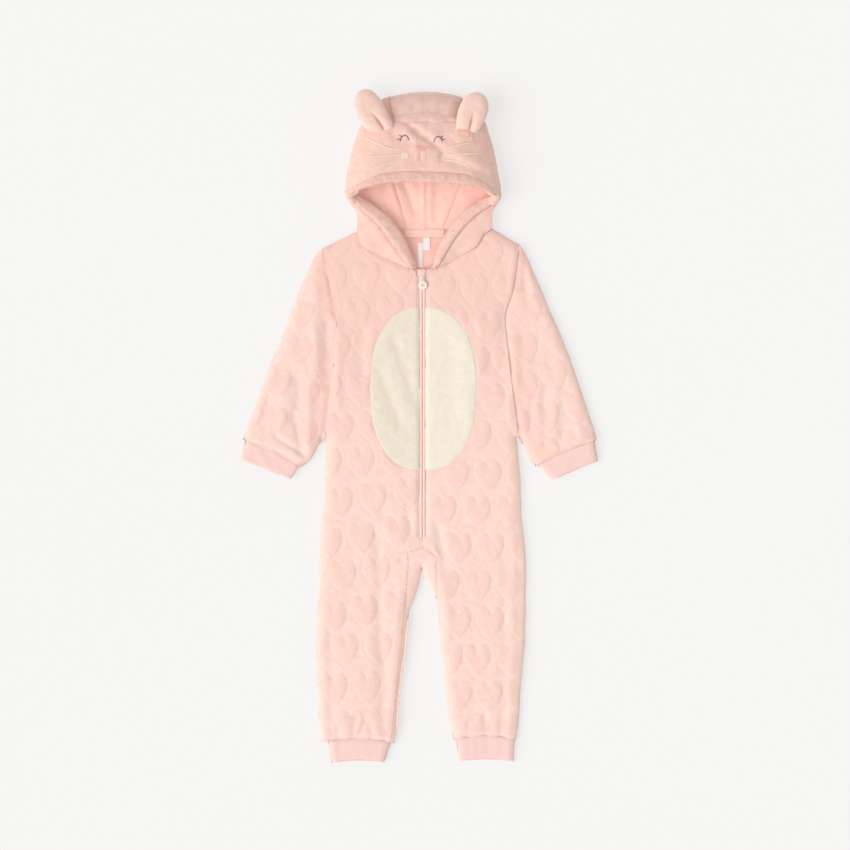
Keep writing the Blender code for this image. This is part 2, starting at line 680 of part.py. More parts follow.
def body_lines():
    """Seam lines of the body as smooth points, by name."""
    tables = {
        "left_armhole": LEFT_ARMHOLE, "left_side": LEFT_SIDE, "left_ankle": LEFT_ANKLE,
        "left_inseam": LEFT_INSEAM, "left_inside_leg": LEFT_INSIDE_LEG,
        "right_armhole": RIGHT_ARMHOLE, "right_side": RIGHT_SIDE, "right_ankle": RIGHT_ANKLE,
        "right_inside_leg": RIGHT_INSIDE_LEG, "right_crotch": RIGHT_CROTCH,
        "right_inseam": RIGHT_INSEAM, "gusset_left": GUSSET_TOP_LEFT,
        "gusset_right": GUSSET_TOP_RIGHT, "left_shoulder": LEFT_SHOULDER,
        "right_shoulder": RIGHT_SHOULDER, "left_neck": LEFT_NECK, "right_neck": RIGHT_NECK,
        "back_neck": BACK_NECK,
    }
    return {name: smooth_line(table, 13.0) for name, table in tables.items()}


def down_edges(lines):
    """The lines where front and back meet at the garment's sides."""
    names = ("left_side", "left_inside_leg", "left_shoulder", "right_side", "right_inside_leg",
             "right_crotch", "right_shoulder")
    return [lines[name] for name in names]


def front_heights(lines, outline):
    """Height functions for the front panels and the gusset."""
    sides = down_edges(lines)
    soft = [lines[n] for n in ("left_neck", "right_neck", "left_armhole", "right_armhole",
                               "left_ankle", "right_ankle")]
    soft.append([(-ZIP_EDGE, ZIP_TOP), (-ZIP_EDGE, ZIP_FOOT)])
    soft.append([(ZIP_EDGE, ZIP_TOP), (ZIP_EDGE, ZIP_FOOT)])

    def top(p):
        to_side = distance(p, *sides)
        rise = SEAM_HIGH + (FRONT_HIGH - SEAM_HIGH) * quarter(to_side / SIDE_ROUND)
        turned = SOFT_DROP * (1 - quarter(distance(p, *soft) / SOFT_ROUND))
        fade = np.clip(to_side / SIDE_ROUND, 0, 1)
        return rise - turned * fade + crease_height(p) * fade

    def under(p):
        return SEAM_LOW + (FRONT_LOW - SEAM_LOW) * quarter(distance(p, *sides) / (SIDE_ROUND + 3))

    return top, under


def belly_outline(sign, step=36):
    """Half of the oval patch, on one side of the zip."""
    ring = []
    power = 2 / BELLY["power"]
    for k in range(step):
        a = 2 * math.pi * k / step
        x = BELLY["x"] + BELLY["half_wide"] * math.copysign(abs(math.cos(a)) ** power, math.cos(a))
        y = BELLY["y"] + BELLY["half_tall"] * math.copysign(abs(math.sin(a)) ** power, math.sin(a))
        if sign * x > ZIP_EDGE + 3:
            ring.append(np.array((x, y)))
    ring.sort(key=lambda p: math.atan2(p[1] - BELLY["y"], sign * (p[0] - BELLY["x"])))
    edge = sign * (ZIP_EDGE + SEW_GAP)
    low, high = belly_zip_span()
    return [np.array((edge, low))] + ring + [np.array((edge, high))]


def belly_zip_span():
    """Where the patch's oval meets the zip."""
    return BELLY["y"] - BELLY["half_tall"] + 0.1, BELLY["y"] + BELLY["half_tall"] - 0.1


def zip_edge(sign):
    """The front edge along the zip, from its top to the seam below it."""
    low, high = belly_zip_span()
    ys = [ZIP_TOP, 372, high, 320, 293, 265, 238, 211, 184, 157, low, 102, 76, 56, ZIP_FOOT + 3]
    line = [np.array((sign * 8.4, ZIP_TOP + 1), float)]
    line += [np.array((sign * ZIP_EDGE, y), float) for y in ys]
    return line + [np.array((sign * 0.05, ZIP_FOOT - 1.5)), np.array((sign * 0.05, 24.0))]


def build_fronts(lines):
    outlines = {
        "left": join(lines["left_armhole"], lines["left_side"], lines["left_ankle"],
                     lines["left_inseam"][::-1], lines["gusset_left"][::-1], zip_edge(-1)[::-1],
                     lines["left_neck"][::-1], lines["left_shoulder"]),
        "right": join(lines["right_armhole"], lines["right_side"], lines["right_ankle"],
                      lines["right_inside_leg"][::-1], lines["right_inseam"][::-1],
                      lines["gusset_right"][::-1], zip_edge(1)[::-1], lines["right_neck"][::-1],
                      lines["right_shoulder"]),
    }
    lattices = {
        "left": (heart_lattice((-106, 432.6), (43.2, 6.3), (0, -50.2), 0.5, 14, 5), math.radians(7)),
        "right": (heart_lattice((46.6, 420), (43.2, 0), (0, -49.7), -0.38, 14, 4), 0.0),
    }
    for side, sign in (("left", -1), ("right", 1)):
        outline = shrink(outlines[side])
        top, under = front_heights(lines, outline)
        patch = belly_outline(sign)
        centres, tilt = lattices[side]
        hearts = fitted_hearts(centres, tilt, outline, keep_off=(patch, ))
        points = inset_points(outline, (2.5, 7.0), down_edges(lines)) + crease_points()
        _, mesh = panel(f"front_{side}", outline, top, under, PLUSH, hearts=hearts,
                        loops=[patch_loop(outline, patch)], points=points, grid=24.0)
        overlay(f"belly_{side}", mesh, patch, 0.3, 2.0, CREAM)


def patch_loop(outline, patch):
    """The patch's outline with its zip corners on the panel's own edge points."""
    snapped = []
    for point in patch:
        gaps = np.linalg.norm(np.array(outline) - point, axis=1)
        snapped.append(outline[int(gaps.argmin())] if gaps.min() < 0.8 else point)
    return snapped


def build_gusset(lines):
    outline = join(lines["gusset_left"], lines["left_inseam"], [(-39, -239)],
                   lines["left_inside_leg"][::-1], lines["right_crotch"],
                   lines["right_inseam"][::-1], lines["gusset_right"][::-1])
    outline = shrink(outline)
    top, under = front_heights(lines, outline)
    points = inset_points(outline, (2.0, ), down_edges(lines))
    panel("crotch_gusset", outline, top, under, PLUSH, points=points, grid=14.0)


def build_back(lines):
    outline = join(lines["left_shoulder"], lines["left_armhole"], lines["left_side"],
                   lines["left_ankle"], [(-39, -239)], lines["left_inside_leg"][::-1],
                   lines["right_crotch"], lines["right_inside_leg"], lines["right_ankle"][::-1],
                   lines["right_side"][::-1], lines["right_armhole"][::-1],
                   lines["right_shoulder"][::-1], lines["back_neck"][::-1])
    outline = shrink(outline)
    sides = down_edges(lines)

    def under(p):
        return 1.8 * (1 - quarter(distance(p, *sides) / 5.0))

    def top(p):
        return np.full(len(p), BACK_THICK)

    points, faces = triangulate(outline, usable(
        inset_points(outline, (2.0, 5.0), sides) + grid_points(outline, 60), outline, 1.2))
    plain, plain_faces = triangulate(outline, usable(grid_points(outline, 60), outline, 8))
    bm = bmesh.new()
    add_skin(bm, points, faces, under(points), upward=False)
    add_skin(bm, plain, plain_faces, top(plain))
    add_strip(bm, lift(closed(outline), under), lift(closed(outline), top))
    new_object("back_panel", bm, PLUSH)


def build_sleeves(lines):
    tables = (
        ("left", LEFT_SLEEVE_OUT, LEFT_SLEEVE_IN, lines["left_armhole"], LEFT_WRIST,
         heart_lattice((-165, 337), (40.5, -15.5), (-17.2, -46), 0.35, 5, 2), math.radians(-16)),
        ("right", RIGHT_SLEEVE_OUT, RIGHT_SLEEVE_IN, lines["right_armhole"], RIGHT_WRIST,
         heart_lattice((147, 347), (40.5, 14), (15.5, -46), 0.35, 5, 2), math.radians(14)),
    )
    for side, outer, inner, armhole, wrist, centres, tilt in tables:
        out_line, in_line = smooth_line(outer, 13.0), smooth_line(inner, 13.0)
        wrist_line = smooth_line(wrist, 10.0)
        outline = join(out_line, wrist_line, in_line[::-1], armhole[::-1])
        moved = np.array(shrink(outline, SLEEVE_GAP))

        def shifted(line):
            ids = [int(np.argmin(np.linalg.norm(np.array(outline) - p, axis=1))) for p in line]
            return [moved[i] for i in ids]

        out_line, in_line = shifted(out_line), shifted(in_line)
        armhole, wrist_line = shifted(armhole), shifted(wrist_line)
        hearts = fitted_hearts(centres, tilt, list(moved))
        left, right = (out_line, in_line) if side == "left" else (in_line, out_line)
        near = armhole if side == "left" else armhole[::-1]
        far = wrist_line if side == "left" else wrist_line[::-1]
        flat_tube(f"sleeve_{side}", left, right, (near, near), (far, far), TUBE_WALL, SLEEVE_HIGH,
                  SLEEVE_HOLLOW, PLUSH, hearts=hearts, creases=True, grid=24.0)


def bowed(start, end, bow, count=9):
    """A line between two points that bows to its left side."""
    start, end = np.array(start, float), np.array(end, float)
    side = np.array((-(end - start)[1], (end - start)[0])) / np.linalg.norm(end - start)
    return [start + (end - start) * t + side * bow * 4 * t * (1 - t)
            for t in np.linspace(0, 1, count)]


def build_cuffs():
    for name, seam_a, seam_b, seam_bow, open_a, open_b, open_bow in CUFFS:
        seam = bowed(seam_a, seam_b, seam_bow)
        lift_off = np.array(open_a) - np.array(seam_a)
        gap = lift_off / np.linalg.norm(lift_off) * CUFF_GAP
        seam = [p + gap for p in seam]
        upper = bowed(open_a, open_b, open_bow)
        lower = bowed(open_a, open_b, open_bow * 0.45)
        left = [seam[0] + (upper[0] - seam[0]) * t for t in np.linspace(0, 1, 4)]
        right = [seam[-1] + (upper[-1] - seam[-1]) * t for t in np.linspace(0, 1, 4)]
        flat_tube(name, left, right, (seam, seam), (upper, lower), CUFF_WALL, CUFF_HIGH,
                  CUFF_HOLLOW, KNIT, across=12, side_round=9.0, grid=14.0)


# ---------------------------------------------------------------- hood

def hood_arch(p, sides, low, lift_in=0.0):
    """Height of the arch that face, temples and brim share."""
    p = np.atleast_2d(np.array(p, float))
    (y0, z0), (y1, z1) = HOOD_FOREHEAD, HOOD_BRIM
    full = np.interp(p[:, 1], [y1, y0, 612, 634], [z1, z0, 29.0, 22.0])
    gap = np.maximum(distance(p, *sides) - lift_in, 0)
    return low + (full - lift_in - low) * quarter(gap / (HOOD_ARCH - lift_in))


def hood_sides():
    left = smooth_line(HOOD_LEFT, 12.0), smooth_line(HOOD_LEFT_TOP, 10.0)
    right = smooth_line(HOOD_RIGHT, 12.0), smooth_line(HOOD_RIGHT_TOP, 10.0)
    return left, right


def build_hood_back():
    (left, left_top), (right, right_top) = hood_sides()
    flat_rows = HOOD_CENTRE[:HOOD_FLAT_ROWS]
    for side, outer, upper, column, sign in (("left", left, left_top, 2, -1),
                                             ("right", right, right_top, 3, 1)):
        seam = [(row[column] + sign * SEW_GAP, row[0]) for row in flat_rows]
        outline = shrink(join(outer, upper, seam[::-1], smooth_line([seam[0], outer[0]], 9.0)))
        edges = [outer, upper]

        def top(p, edges=edges):
            return BACK_THICK + (HOOD_RIM - BACK_THICK) * (1 - quarter((distance(p, *edges) - 2.0) / 4.0))

        def under(p, edges=edges):
            return 4.0 * (1 - quarter(distance(p, *edges) / 5.0))

        points = inset_points(outline, (2.2, 3.5, 6.0), edges)
        plain = usable(grid_points(outline, 30), outline, 8)
        top_points, top_faces = triangulate(outline, usable(points, outline, 1.0, apart=1.2) + plain)
        low_points = usable(inset_points(outline, (2.0, 5.0), edges), outline, 1.0, apart=1.5)
        low_points, low_faces = triangulate(outline, low_points + plain)
        bm = bmesh.new()
        add_skin(bm, top_points, top_faces, top(top_points))
        add_skin(bm, low_points, low_faces, under(low_points), upward=False)
        add_strip(bm, lift(closed(outline), under), lift(closed(outline), top))
        new_object(f"hood_side_{side}", bm, PLUSH)


def build_hood_centre():
    """The strip from the neck over the crown to the forehead, as sections across it."""
    rows = np.array(HOOD_CENTRE, float)
    path = rows[:, :2]
    along = np.gradient(path, axis=0)
    along /= np.linalg.norm(along, axis=1)[:, None]
    inner = path + np.stack([-along[:, 1], along[:, 0]], axis=1) * BACK_THICK
    inner[0, 0], inner[-1, 0] = path[0, 0], path[-1, 0]
    columns = np.linspace(0, 1, 7)
    rings = []
    for (y, z), (yi, zi), (_, _, x_left, x_right, most_bow) in zip(path, inner, rows):
        outer_row, inner_row = [], []
        for u in columns:
            bow = most_bow * (1 - (2 * u - 1) ** 2)
            x = x_left + (x_right - x_left) * u
            outer_row.append((x, y + bow, z))
            inner_row.append((x, yi + bow, zi))
        rings.append(outer_row + inner_row[::-1])
    ring_loft("hood_centre", rings, PLUSH)


def face_top(p):
    """Height of the outer side of the face panel and the temples."""
    (left, left_top), (right, right_top) = hood_sides()
    arch = hood_arch(p, (left, left_top, right, right_top), HOOD_LOW + 2.0)
    return arch + crease_height(p, FACE_CREASES)


def build_hood_top():
    """Temples and face panel: the upper side of the hood."""
    (left, left_top), (right, right_top) = hood_sides()
    sides = [left, left_top, right, right_top]
    top = face_top

    def under(p):
        return hood_arch(p, sides, HOOD_LOW, lift_in=HOOD_WALL) + np.minimum(crease_height(p, FACE_CREASES), 0)

    temples = (
        ("hood_temple_left", join(left_top, smooth_line(TEMPLE_LEFT, 10),
                                  smooth_line([TEMPLE_LEFT[-1], left_top[0]], 12))),
        ("hood_temple_right", join(right_top, smooth_line(TEMPLE_RIGHT, 10),
                                   smooth_line([TEMPLE_RIGHT[-1], right_top[0]], 12))),
    )
    for name, outline in temples:
        outline = shrink(outline)
        points = inset_points(outline, (2, 5, 10), sides)
        panel(name, outline, top, under, PLUSH, points=points, grid=14.0)
    face_left = [p for p in left if p[1] > 503.5]
    face_right = [p for p in right if p[1] > 502.5]
    outline = shrink(join(smooth_line(FACE_TOP, 14.0), face_right[::-1],
                          smooth_line(FACE_BRIM, 12.0)[::-1], face_left))
    points = inset_points(outline, (2, 5, 11, 20), [left, right]) + crease_points(FACE_CREASES)
    panel("hood_face", outline, top, under, PLUSH, points=points, grid=15.0)


def soft_ring(centre, across, up, half_wide, half_high, count=12):
    """A rounded-square ring round a band's centre line."""
    ring = []
    for k in range(count):
        a = 2 * math.pi * k / count
        c, s = math.cos(a), math.sin(a)
        ring.append(Vector(centre) + Vector(across) * (math.copysign(abs(c) ** 0.75, c) * half_wide)
                    + Vector(up) * (math.copysign(abs(s) ** 0.75, s) * half_high))
    return ring


def band_line(rows):
    """A hem's centre line with its direction, width and height at each point."""
    table = np.array(rows, float)
    line = np.array(smooth_line(table[:, :2], 9.0))
    along = np.gradient(line, axis=0)
    along /= np.linalg.norm(along, axis=1)[:, None]
    at = [int(np.argmin(np.linalg.norm(line - row[:2], axis=1))) for row in table]
    values = [np.interp(range(len(line)), at, column) for column in table[:, 2:].T]
    return line, along, values


def band(name, rows, look):
    """A rolled hem through rows of x, y, width and height of its middle."""
    line, along, (widths, heights) = band_line(rows)
    rings = []
    for i, point in enumerate(line):
        full = 0.6 if i in (0, len(line) - 1) else 1.0
        rings.append(soft_ring((*point, heights[i]), (-along[i][1], along[i][0], 0), (0, 0, 1),
                               widths[i] / 2 * full, HEM_THICK / 2 * full))
    ring_loft(name, rings, look)


def build_hems():
    for name, rows in HOOD_HEMS:
        band(name, rows, PLUSH)
    corner = HOOD_HEMS[0][1][0][3] + BRIM_LIFT
    rows = []
    for x, y, width in BRIM_HEM:
        from_corner = 98 - abs(x)
        height = corner + (HOOD_BRIM[1] - HEM_THICK / 2 - corner) * quarter(from_corner / HOOD_ARCH)
        rows.append((x, y, width, float(height)))
    band("brim_hem", rows, PLUSH)


def build_flaps(lines):
    """The hood's front parts, from its side folds down to the neck seam."""
    tables = (("left", FLAP_LEFT, HOOD_HEMS[0][1], -1, lines["left_neck"]),
              ("right", FLAP_RIGHT, HOOD_HEMS[1][1], 1, lines["right_neck"]))
    for side, fold, hem_rows, sign, neck in tables:
        fold_line = smooth_line(fold, 9.0)
        hem, along, (widths, _) = band_line(hem_rows)
        outward = np.stack([-along[:, 1], along[:, 0]], axis=1)
        outward *= np.sign(outward[:, :1] * sign)
        inner_line = list(hem + outward * (widths[:, None] / 2 + FLAP_GAP))[1:]
        inner_line[-1] = inner_line[-1] + (0, FLAP_FOOT)
        neck = [p for p in neck if abs(p[0]) > abs(inner_line[-1][0]) + 2]
        outline = shrink(join(fold_line, inner_line, neck[::-1]), 0.4)

        def under(p):
            outward = np.clip((np.abs(np.array(p)[:, 0]) - 45) / 30, 0, 1)
            return FLAP_LOW + (HOOD_LOW - FLAP_LOW) * outward

        def top(p, fold_line=fold_line, neck=neck, inner_line=inner_line):
            swell = quarter(distance(p, fold_line, neck) / 10)
            swell *= quarter((distance(p, inner_line) - 5) / 7)
            edge = 0.6 + 0.4 * quarter(distance(p, fold_line) / 5)
            return under(p) + FLAP_THICK * edge + FLAP_SWELL * swell

        panel(f"hood_flap_{side}", outline, top, under, PLUSH,
              points=inset_points(outline, (3, 7), [fold_line, neck, inner_line]), grid=13.0)


def build_ears():
    for ear in EARS:
        outline = smooth_loop(ear["outline"], 6.0)
        if signed_area(outline) < 0:
            outline.reverse()
        base, tip = np.array(ear["base"], float), np.array(ear["tip"], float)
        axis = (tip - base) / np.linalg.norm(tip - base) ** 2
        edge = closed(outline)
        crease = ear["crease"]

        def floor_of(p, base=base, axis=axis):
            t = np.clip((np.array(p) - base) @ axis, -0.1, 1)
            return EAR_BASE_LOW + (EAR_TIP_LOW - EAR_BASE_LOW) * t

        def top(p, edge=edge, crease=crease, floor_of=floor_of):
            gap = distance(p, edge)
            swell = EAR_THICK * (0.42 + 0.58 * quarter(gap / 11.0))
            dent = 4.5 * np.exp(-(distance(p, crease) / 2.6) ** 2) * np.clip(gap / 5, 0, 1)
            return floor_of(p) + swell - dent

        def under(p, edge=edge, floor_of=floor_of):
            return floor_of(p) + EAR_THICK * 0.3 * (1 - quarter(distance(p, edge) / 7.0))

        rings = inset_points(outline, (1.2, 4, 8, 12), [edge])
        start, end = np.array(crease[0], float), np.array(crease[1], float)
        side = np.array((-(end - start)[1], (end - start)[0])) / np.linalg.norm(end - start)
        fold = [start + (end - start) * t + side * s for t in np.linspace(0, 1, 5) for s in (0, 3, -3)]
        top_free = usable(fold + rings + grid_points(outline, 9), outline, 1.0, apart=2.4)
        top_points, top_faces = triangulate(outline, top_free)
        low_free = inset_points(outline, (3, 7), [edge]) + grid_points(outline, 16)
        low_free = usable(low_free, outline, 1.0, apart=4)
        low_points, low_faces = triangulate(outline, low_free)
        bm = bmesh.new()
        add_skin(bm, top_points, top_faces, top(top_points))
        add_skin(bm, low_points, low_faces, under(low_points), upward=False)
        add_strip(bm, lift(edge, under), lift(edge, top))
        new_object(ear["name"], bm, PLUSH)


# ---------------------------------------------------------------- small pieces

def plate(name, outline, low, high, look):
    """A flat piece with straight sides, from its outline."""
    points, faces = triangulate(outline)
    bm = bmesh.new()
    add_skin(bm, points, faces, [high] * len(points))
    add_skin(bm, points, faces, [low] * len(points), upward=False)
    add_strip(bm, [(x, y, low) for x, y in closed(outline)], [(x, y, high) for x, y in closed(outline)])
    return new_object(name, bm, look, smooth_angle=30)


def rectangle(x0, y0, x1, y1):
    return [np.array(p, float) for p in ((x0, y0), (x1, y0), (x1, y1), (x0, y1))]


def rounded_box(name, low, high, edge, look):
    """A box with bevelled edges between two corners."""
    low, high = np.array(low, float), np.array(high, float)
    bm = bmesh.new()
    bmesh.ops.create_cube(bm, size=1)
    bmesh.ops.scale(bm, vec=Vector(high - low), verts=bm.verts)
    bmesh.ops.translate(bm, vec=Vector((low + high) / 2), verts=bm.verts)
    bmesh.ops.bevel(bm, geom=bm.edges[:], offset=edge, segments=2, profile=0.5, affect="EDGES")
    return new_object(name, bm, look)


def build_zip():
    plate("zip_tape", rectangle(-TAPE_HALF, ZIP_FOOT - 8, TAPE_HALF, TAPE_TOP), TAPE_LOW, TAPE_HIGH, TAPE)
    low = TAPE_HIGH + SEW_GAP + 0.1
    shoulder = COIL_HALF * 0.8
    coil = [(-COIL_HALF, low), (-shoulder, COIL_HIGH - 0.3), (-0.5, COIL_HIGH),
            (0, COIL_HIGH - 0.4), (0.5, COIL_HIGH), (shoulder, COIL_HIGH - 0.3), (COIL_HALF, low)]
    ends = (ZIP_FOOT + 2, SLIDER["y_low"] - 0.3)
    ring_loft("zip_coil", [[(x, y, z) for x, z in coil] for y in ends], TAPE)


def build_slider():
    """The slider's plate with the arch that the pull hangs on."""
    low, high = SLIDER["y_low"], SLIDER["y_high"]
    top = SLIDER["top"]
    half = SLIDER["half_wide"]
    body = rounded_box("zip_slider", (-half, low, TAPE_HIGH + 0.3), (half, high, top), 0.9, METAL)
    arch = bmesh.new()
    foot, rise, thick = SLIDER["arch_foot"], SLIDER["arch_rise"], SLIDER["arch_thick"]
    y_start, y_end = PULL_AXIS_Y - foot, PULL_AXIS_Y + foot
    profile = [(y_start, top - 0.5), (y_start, top + rise), (y_end, top + rise), (y_end, top - 0.5),
               (y_end - thick, top - 0.5), (y_end - thick, top + rise - thick),
               (y_start + thick, top + rise - thick), (y_start + thick, top - 0.5)]
    for x in (-SLIDER["arch_half"], SLIDER["arch_half"]):
        arch_face = [arch.verts.new((x, y, z)) for y, z in profile]
        arch.faces.new(arch_face)
    arch.verts.ensure_lookup_table()
    count = len(profile)
    for i in range(count):
        j = (i + 1) % count
        arch.faces.new((arch.verts[i], arch.verts[j], arch.verts[count + j], arch.verts[count + i]))
    unite(body, new_object("slider_arch", arch, METAL))


def unite(body, other):
    """Join another object into a body and remove it."""
    union = body.modifiers.new("join", "BOOLEAN")
    union.operation = "UNION"
    union.object = other
    graph = bpy.context.evaluated_depsgraph_get()
    mesh = bpy.data.meshes.new_from_object(body.evaluated_get(graph))
    body.modifiers.remove(union)
    body.data = mesh
    bpy.data.objects.remove(other, do_unlink=True)


def flower_outline(radius, petals, dent, count=4):
    """Outline of a round flower with rounded petals."""
    outline = []
    for k in range(petals * count):
        a = 2 * math.pi * k / (petals * count)
        r = radius * (1 - dent * (1 - abs(math.sin(petals * a / 2))))
        outline.append(np.array((r * math.cos(a), r * math.sin(a))))
    return outline


def build_pull():
    """The moulded flower and its two arms, hinged on a bar under the slider's arch."""
    bar = PULL["bar_radius"]
    z_mid = SLIDER["top"] + 0.25 + bar
    flower = [p + np.array((0, PULL["flower_y"])) for p in flower_outline(PULL["radius"], 7, 0.16)]
    low, high = z_mid - bar, z_mid + PULL["thick"] - bar
    body = plate("zip_pull", flower, low, high, RUBBER)
    arm_in, arm_out = PULL["arm_in"], PULL["arm_out"]
    reach = PULL["flower_y"] + PULL["radius"] * 0.6
    parts = [(-arm_out, reach, -arm_in, PULL_AXIS_Y + bar), (arm_in, reach, arm_out, PULL_AXIS_Y + bar)]
    for x0, y0, x1, y1 in parts:
        arm = rounded_box("arm", (x0, y0, z_mid - bar), (x1, y1, z_mid + bar), 0.25, RUBBER)
        unite(body, arm)
    axle = rounded_box("bar", (-arm_in - 0.4, PULL_AXIS_Y - bar * 0.8, z_mid - bar * 0.8),
                       (arm_in + 0.4, PULL_AXIS_Y + bar * 0.8, z_mid + bar * 0.8), 0.3, RUBBER)
    unite(body, axle)
    boss = [p + np.array((0, PULL["flower_y"])) for p in flower_outline(PULL["boss"], 8, 0.0, 1)]
    plate("zip_pull_centre", boss, high + 0.05, high + 0.7, KNIT)


def build_guard():
    """The soft fold that covers the zip's top stop."""
    rounded_box("zip_guard", GUARD["low"], GUARD["high"], 1.2, PLUSH)


def build_neck_trims():
    plate("neck_tape", rectangle(-20, 442.5, 25, 452.8), BACK_THICK + 0.3, BACK_THICK + 1.5, TAPE)
    plate("neck_label", rectangle(0.8, 424.8, 9.8, 442.0), BACK_THICK + 0.3, BACK_THICK + 0.9, LABEL)
    plate("care_label", rectangle(-6, 401.5, 0.2, 434.5), BACK_THICK + 0.3, BACK_THICK + 0.9, LABEL)


def build_ear_flower(top_of):
    """The flower applique in front of the right ear, on the face panel."""
    middle = np.array(APPLIQUE["centre"], float)
    petals = [middle + p * np.array((1.0, 0.72)) for p in flower_outline(APPLIQUE["radius"], 5, 0.28, 5)]
    disc = [middle + p * np.array((1.0, 0.72)) for p in flower_outline(APPLIQUE["disc"], 12, 0.0, 1)]
    for name, outline, gap, thick, look in (("ear_flower", petals, 0.5, 1.6, CREAM),
                                            ("ear_flower_centre", disc, 2.5, 1.2, PLUSH)):
        points, faces = triangulate(outline, usable(grid_points(outline, 5), outline, 1.0, apart=3))
        base = top_of(points)
        bm = bmesh.new()
        add_skin(bm, points, faces, base + gap + thick)
        add_skin(bm, points, faces, base + gap, upward=False)
        rim = closed(outline)
        rim_base = top_of(rim)
        add_strip(bm, [(x, y, z + gap) for (x, y), z in zip(rim, rim_base)],
                  [(x, y, z + gap + thick) for (x, y), z in zip(rim, rim_base)])
        new_object(name, bm, look)


def centre_on_floor():
    """Move every mesh so that the middle of the garment's underside is the origin."""
    corners = []
    for piece in GARMENT.objects:
        flat = np.empty(len(piece.data.vertices) * 3)
        piece.data.vertices.foreach_get("co", flat)
        corners.append(flat.reshape(-1, 3))
    every = np.concatenate(corners)
    low, high = every.min(axis=0), every.max(axis=0)
    shift = -np.array(((low[0] + high[0]) / 2, (low[1] + high[1]) / 2, low[2]))
    for piece, points in zip(GARMENT.objects, corners):
        piece.data.vertices.foreach_set("co", (points + shift).ravel())
        piece.data.update()
    return shift


# ---------------------------------------------------------------- start

for old in list(bpy.data.objects):
    bpy.data.objects.remove(old, do_unlink=True)
GARMENT = bpy.data.collections.new("plush onesie")
bpy.context.scene.collection.children.link(GARMENT)

LINES = body_lines()
build_back(LINES)
build_fronts(LINES)
build_gusset(LINES)
build_sleeves(LINES)
build_cuffs()
build_hood_back()
build_hood_centre()
build_hood_top()
build_hems()
build_flaps(LINES)
build_ears()
build_zip()
build_slider()
build_pull()
build_guard()
build_neck_trims()
build_ear_flower(face_top)
centre_on_floor()
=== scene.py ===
"""Hooded plush onesie for a toddler, laid flat with its zip closed.

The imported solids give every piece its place. This script dresses them: plush with raised hearts,
knit cuffs, a padded hood, embroidery, stitching and the zip.

Lengths in the tables are millimetres on the pattern: x = 0 is the zip, y = 0 is the crotch and
z = 0 is the surface that the garment lies on.
"""

import functools
import math

import bmesh
import bpy
import numpy as np
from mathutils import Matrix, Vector, noise
from mathutils.geometry import delaunay_2d_cdt


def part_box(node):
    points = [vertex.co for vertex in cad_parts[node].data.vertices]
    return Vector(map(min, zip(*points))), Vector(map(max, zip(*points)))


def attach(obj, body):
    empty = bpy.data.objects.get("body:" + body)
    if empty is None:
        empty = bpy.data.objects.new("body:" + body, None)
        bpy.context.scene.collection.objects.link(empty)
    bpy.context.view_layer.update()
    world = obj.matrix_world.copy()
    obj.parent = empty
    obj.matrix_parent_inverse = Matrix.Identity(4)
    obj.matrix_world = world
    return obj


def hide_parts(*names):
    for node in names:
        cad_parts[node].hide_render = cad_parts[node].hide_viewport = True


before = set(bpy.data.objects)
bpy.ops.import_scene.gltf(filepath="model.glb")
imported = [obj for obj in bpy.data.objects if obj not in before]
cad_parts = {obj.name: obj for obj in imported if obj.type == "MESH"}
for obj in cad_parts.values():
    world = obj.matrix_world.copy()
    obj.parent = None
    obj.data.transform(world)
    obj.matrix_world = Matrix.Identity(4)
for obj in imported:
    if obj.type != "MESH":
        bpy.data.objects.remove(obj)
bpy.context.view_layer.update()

MM = 0.001
TAPE_TOP = 396.0                    # upper end of the zip tape on the pattern
tape_low, tape_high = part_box("zip_tape")
ORIGIN = np.array(((tape_low.x + tape_high.x) / 2 / MM, tape_high.y / MM - TAPE_TOP, 0.0))
GARMENT, PULL = "garment", "pull"   # the two bodies

# Camera, straight above the middle of the picture
MM_PER_PIXEL = 1.35
CAMERA_MIDDLE = (2.5 * MM_PER_PIXEL, 140 * MM_PER_PIXEL)
CAMERA_HIGH = 9000.0

# Heights of the front
SIDE_HIGH = 4.5         # at the side seams
FRONT_HIGH = 10.0
SIDE_REACH = 15.0       # how far the sides take to rise
SIDE_SWAY = 0.9         # how far the sides of the cloth sway in and out

# Hearts: right half of the outline from the cleft to the tip, in half widths and half heights
HEART_WIDE, HEART_TALL = 37.5, 44.0
HEART_HALF = [(0, 0.60), (0.10, 0.78), (0.30, 0.95), (0.55, 1.0), (0.82, 0.86), (0.97, 0.58),
              (1.0, 0.28), (0.90, -0.08), (0.66, -0.46), (0.32, -0.80), (0, -1.0)]
HEART_RISE = 0.95
HEART_SLOPE, RIGHT_SLOPE = 6.5, 3.2     # how far in from its outline a heart takes to rise
HEART_GROOVE = 0.15     # dip round its outline
HEART_TONE, CRESCENT_PAINTED_SHADE = 0.5, 0.75   # colour inside a heart, and painted shade along its right flank
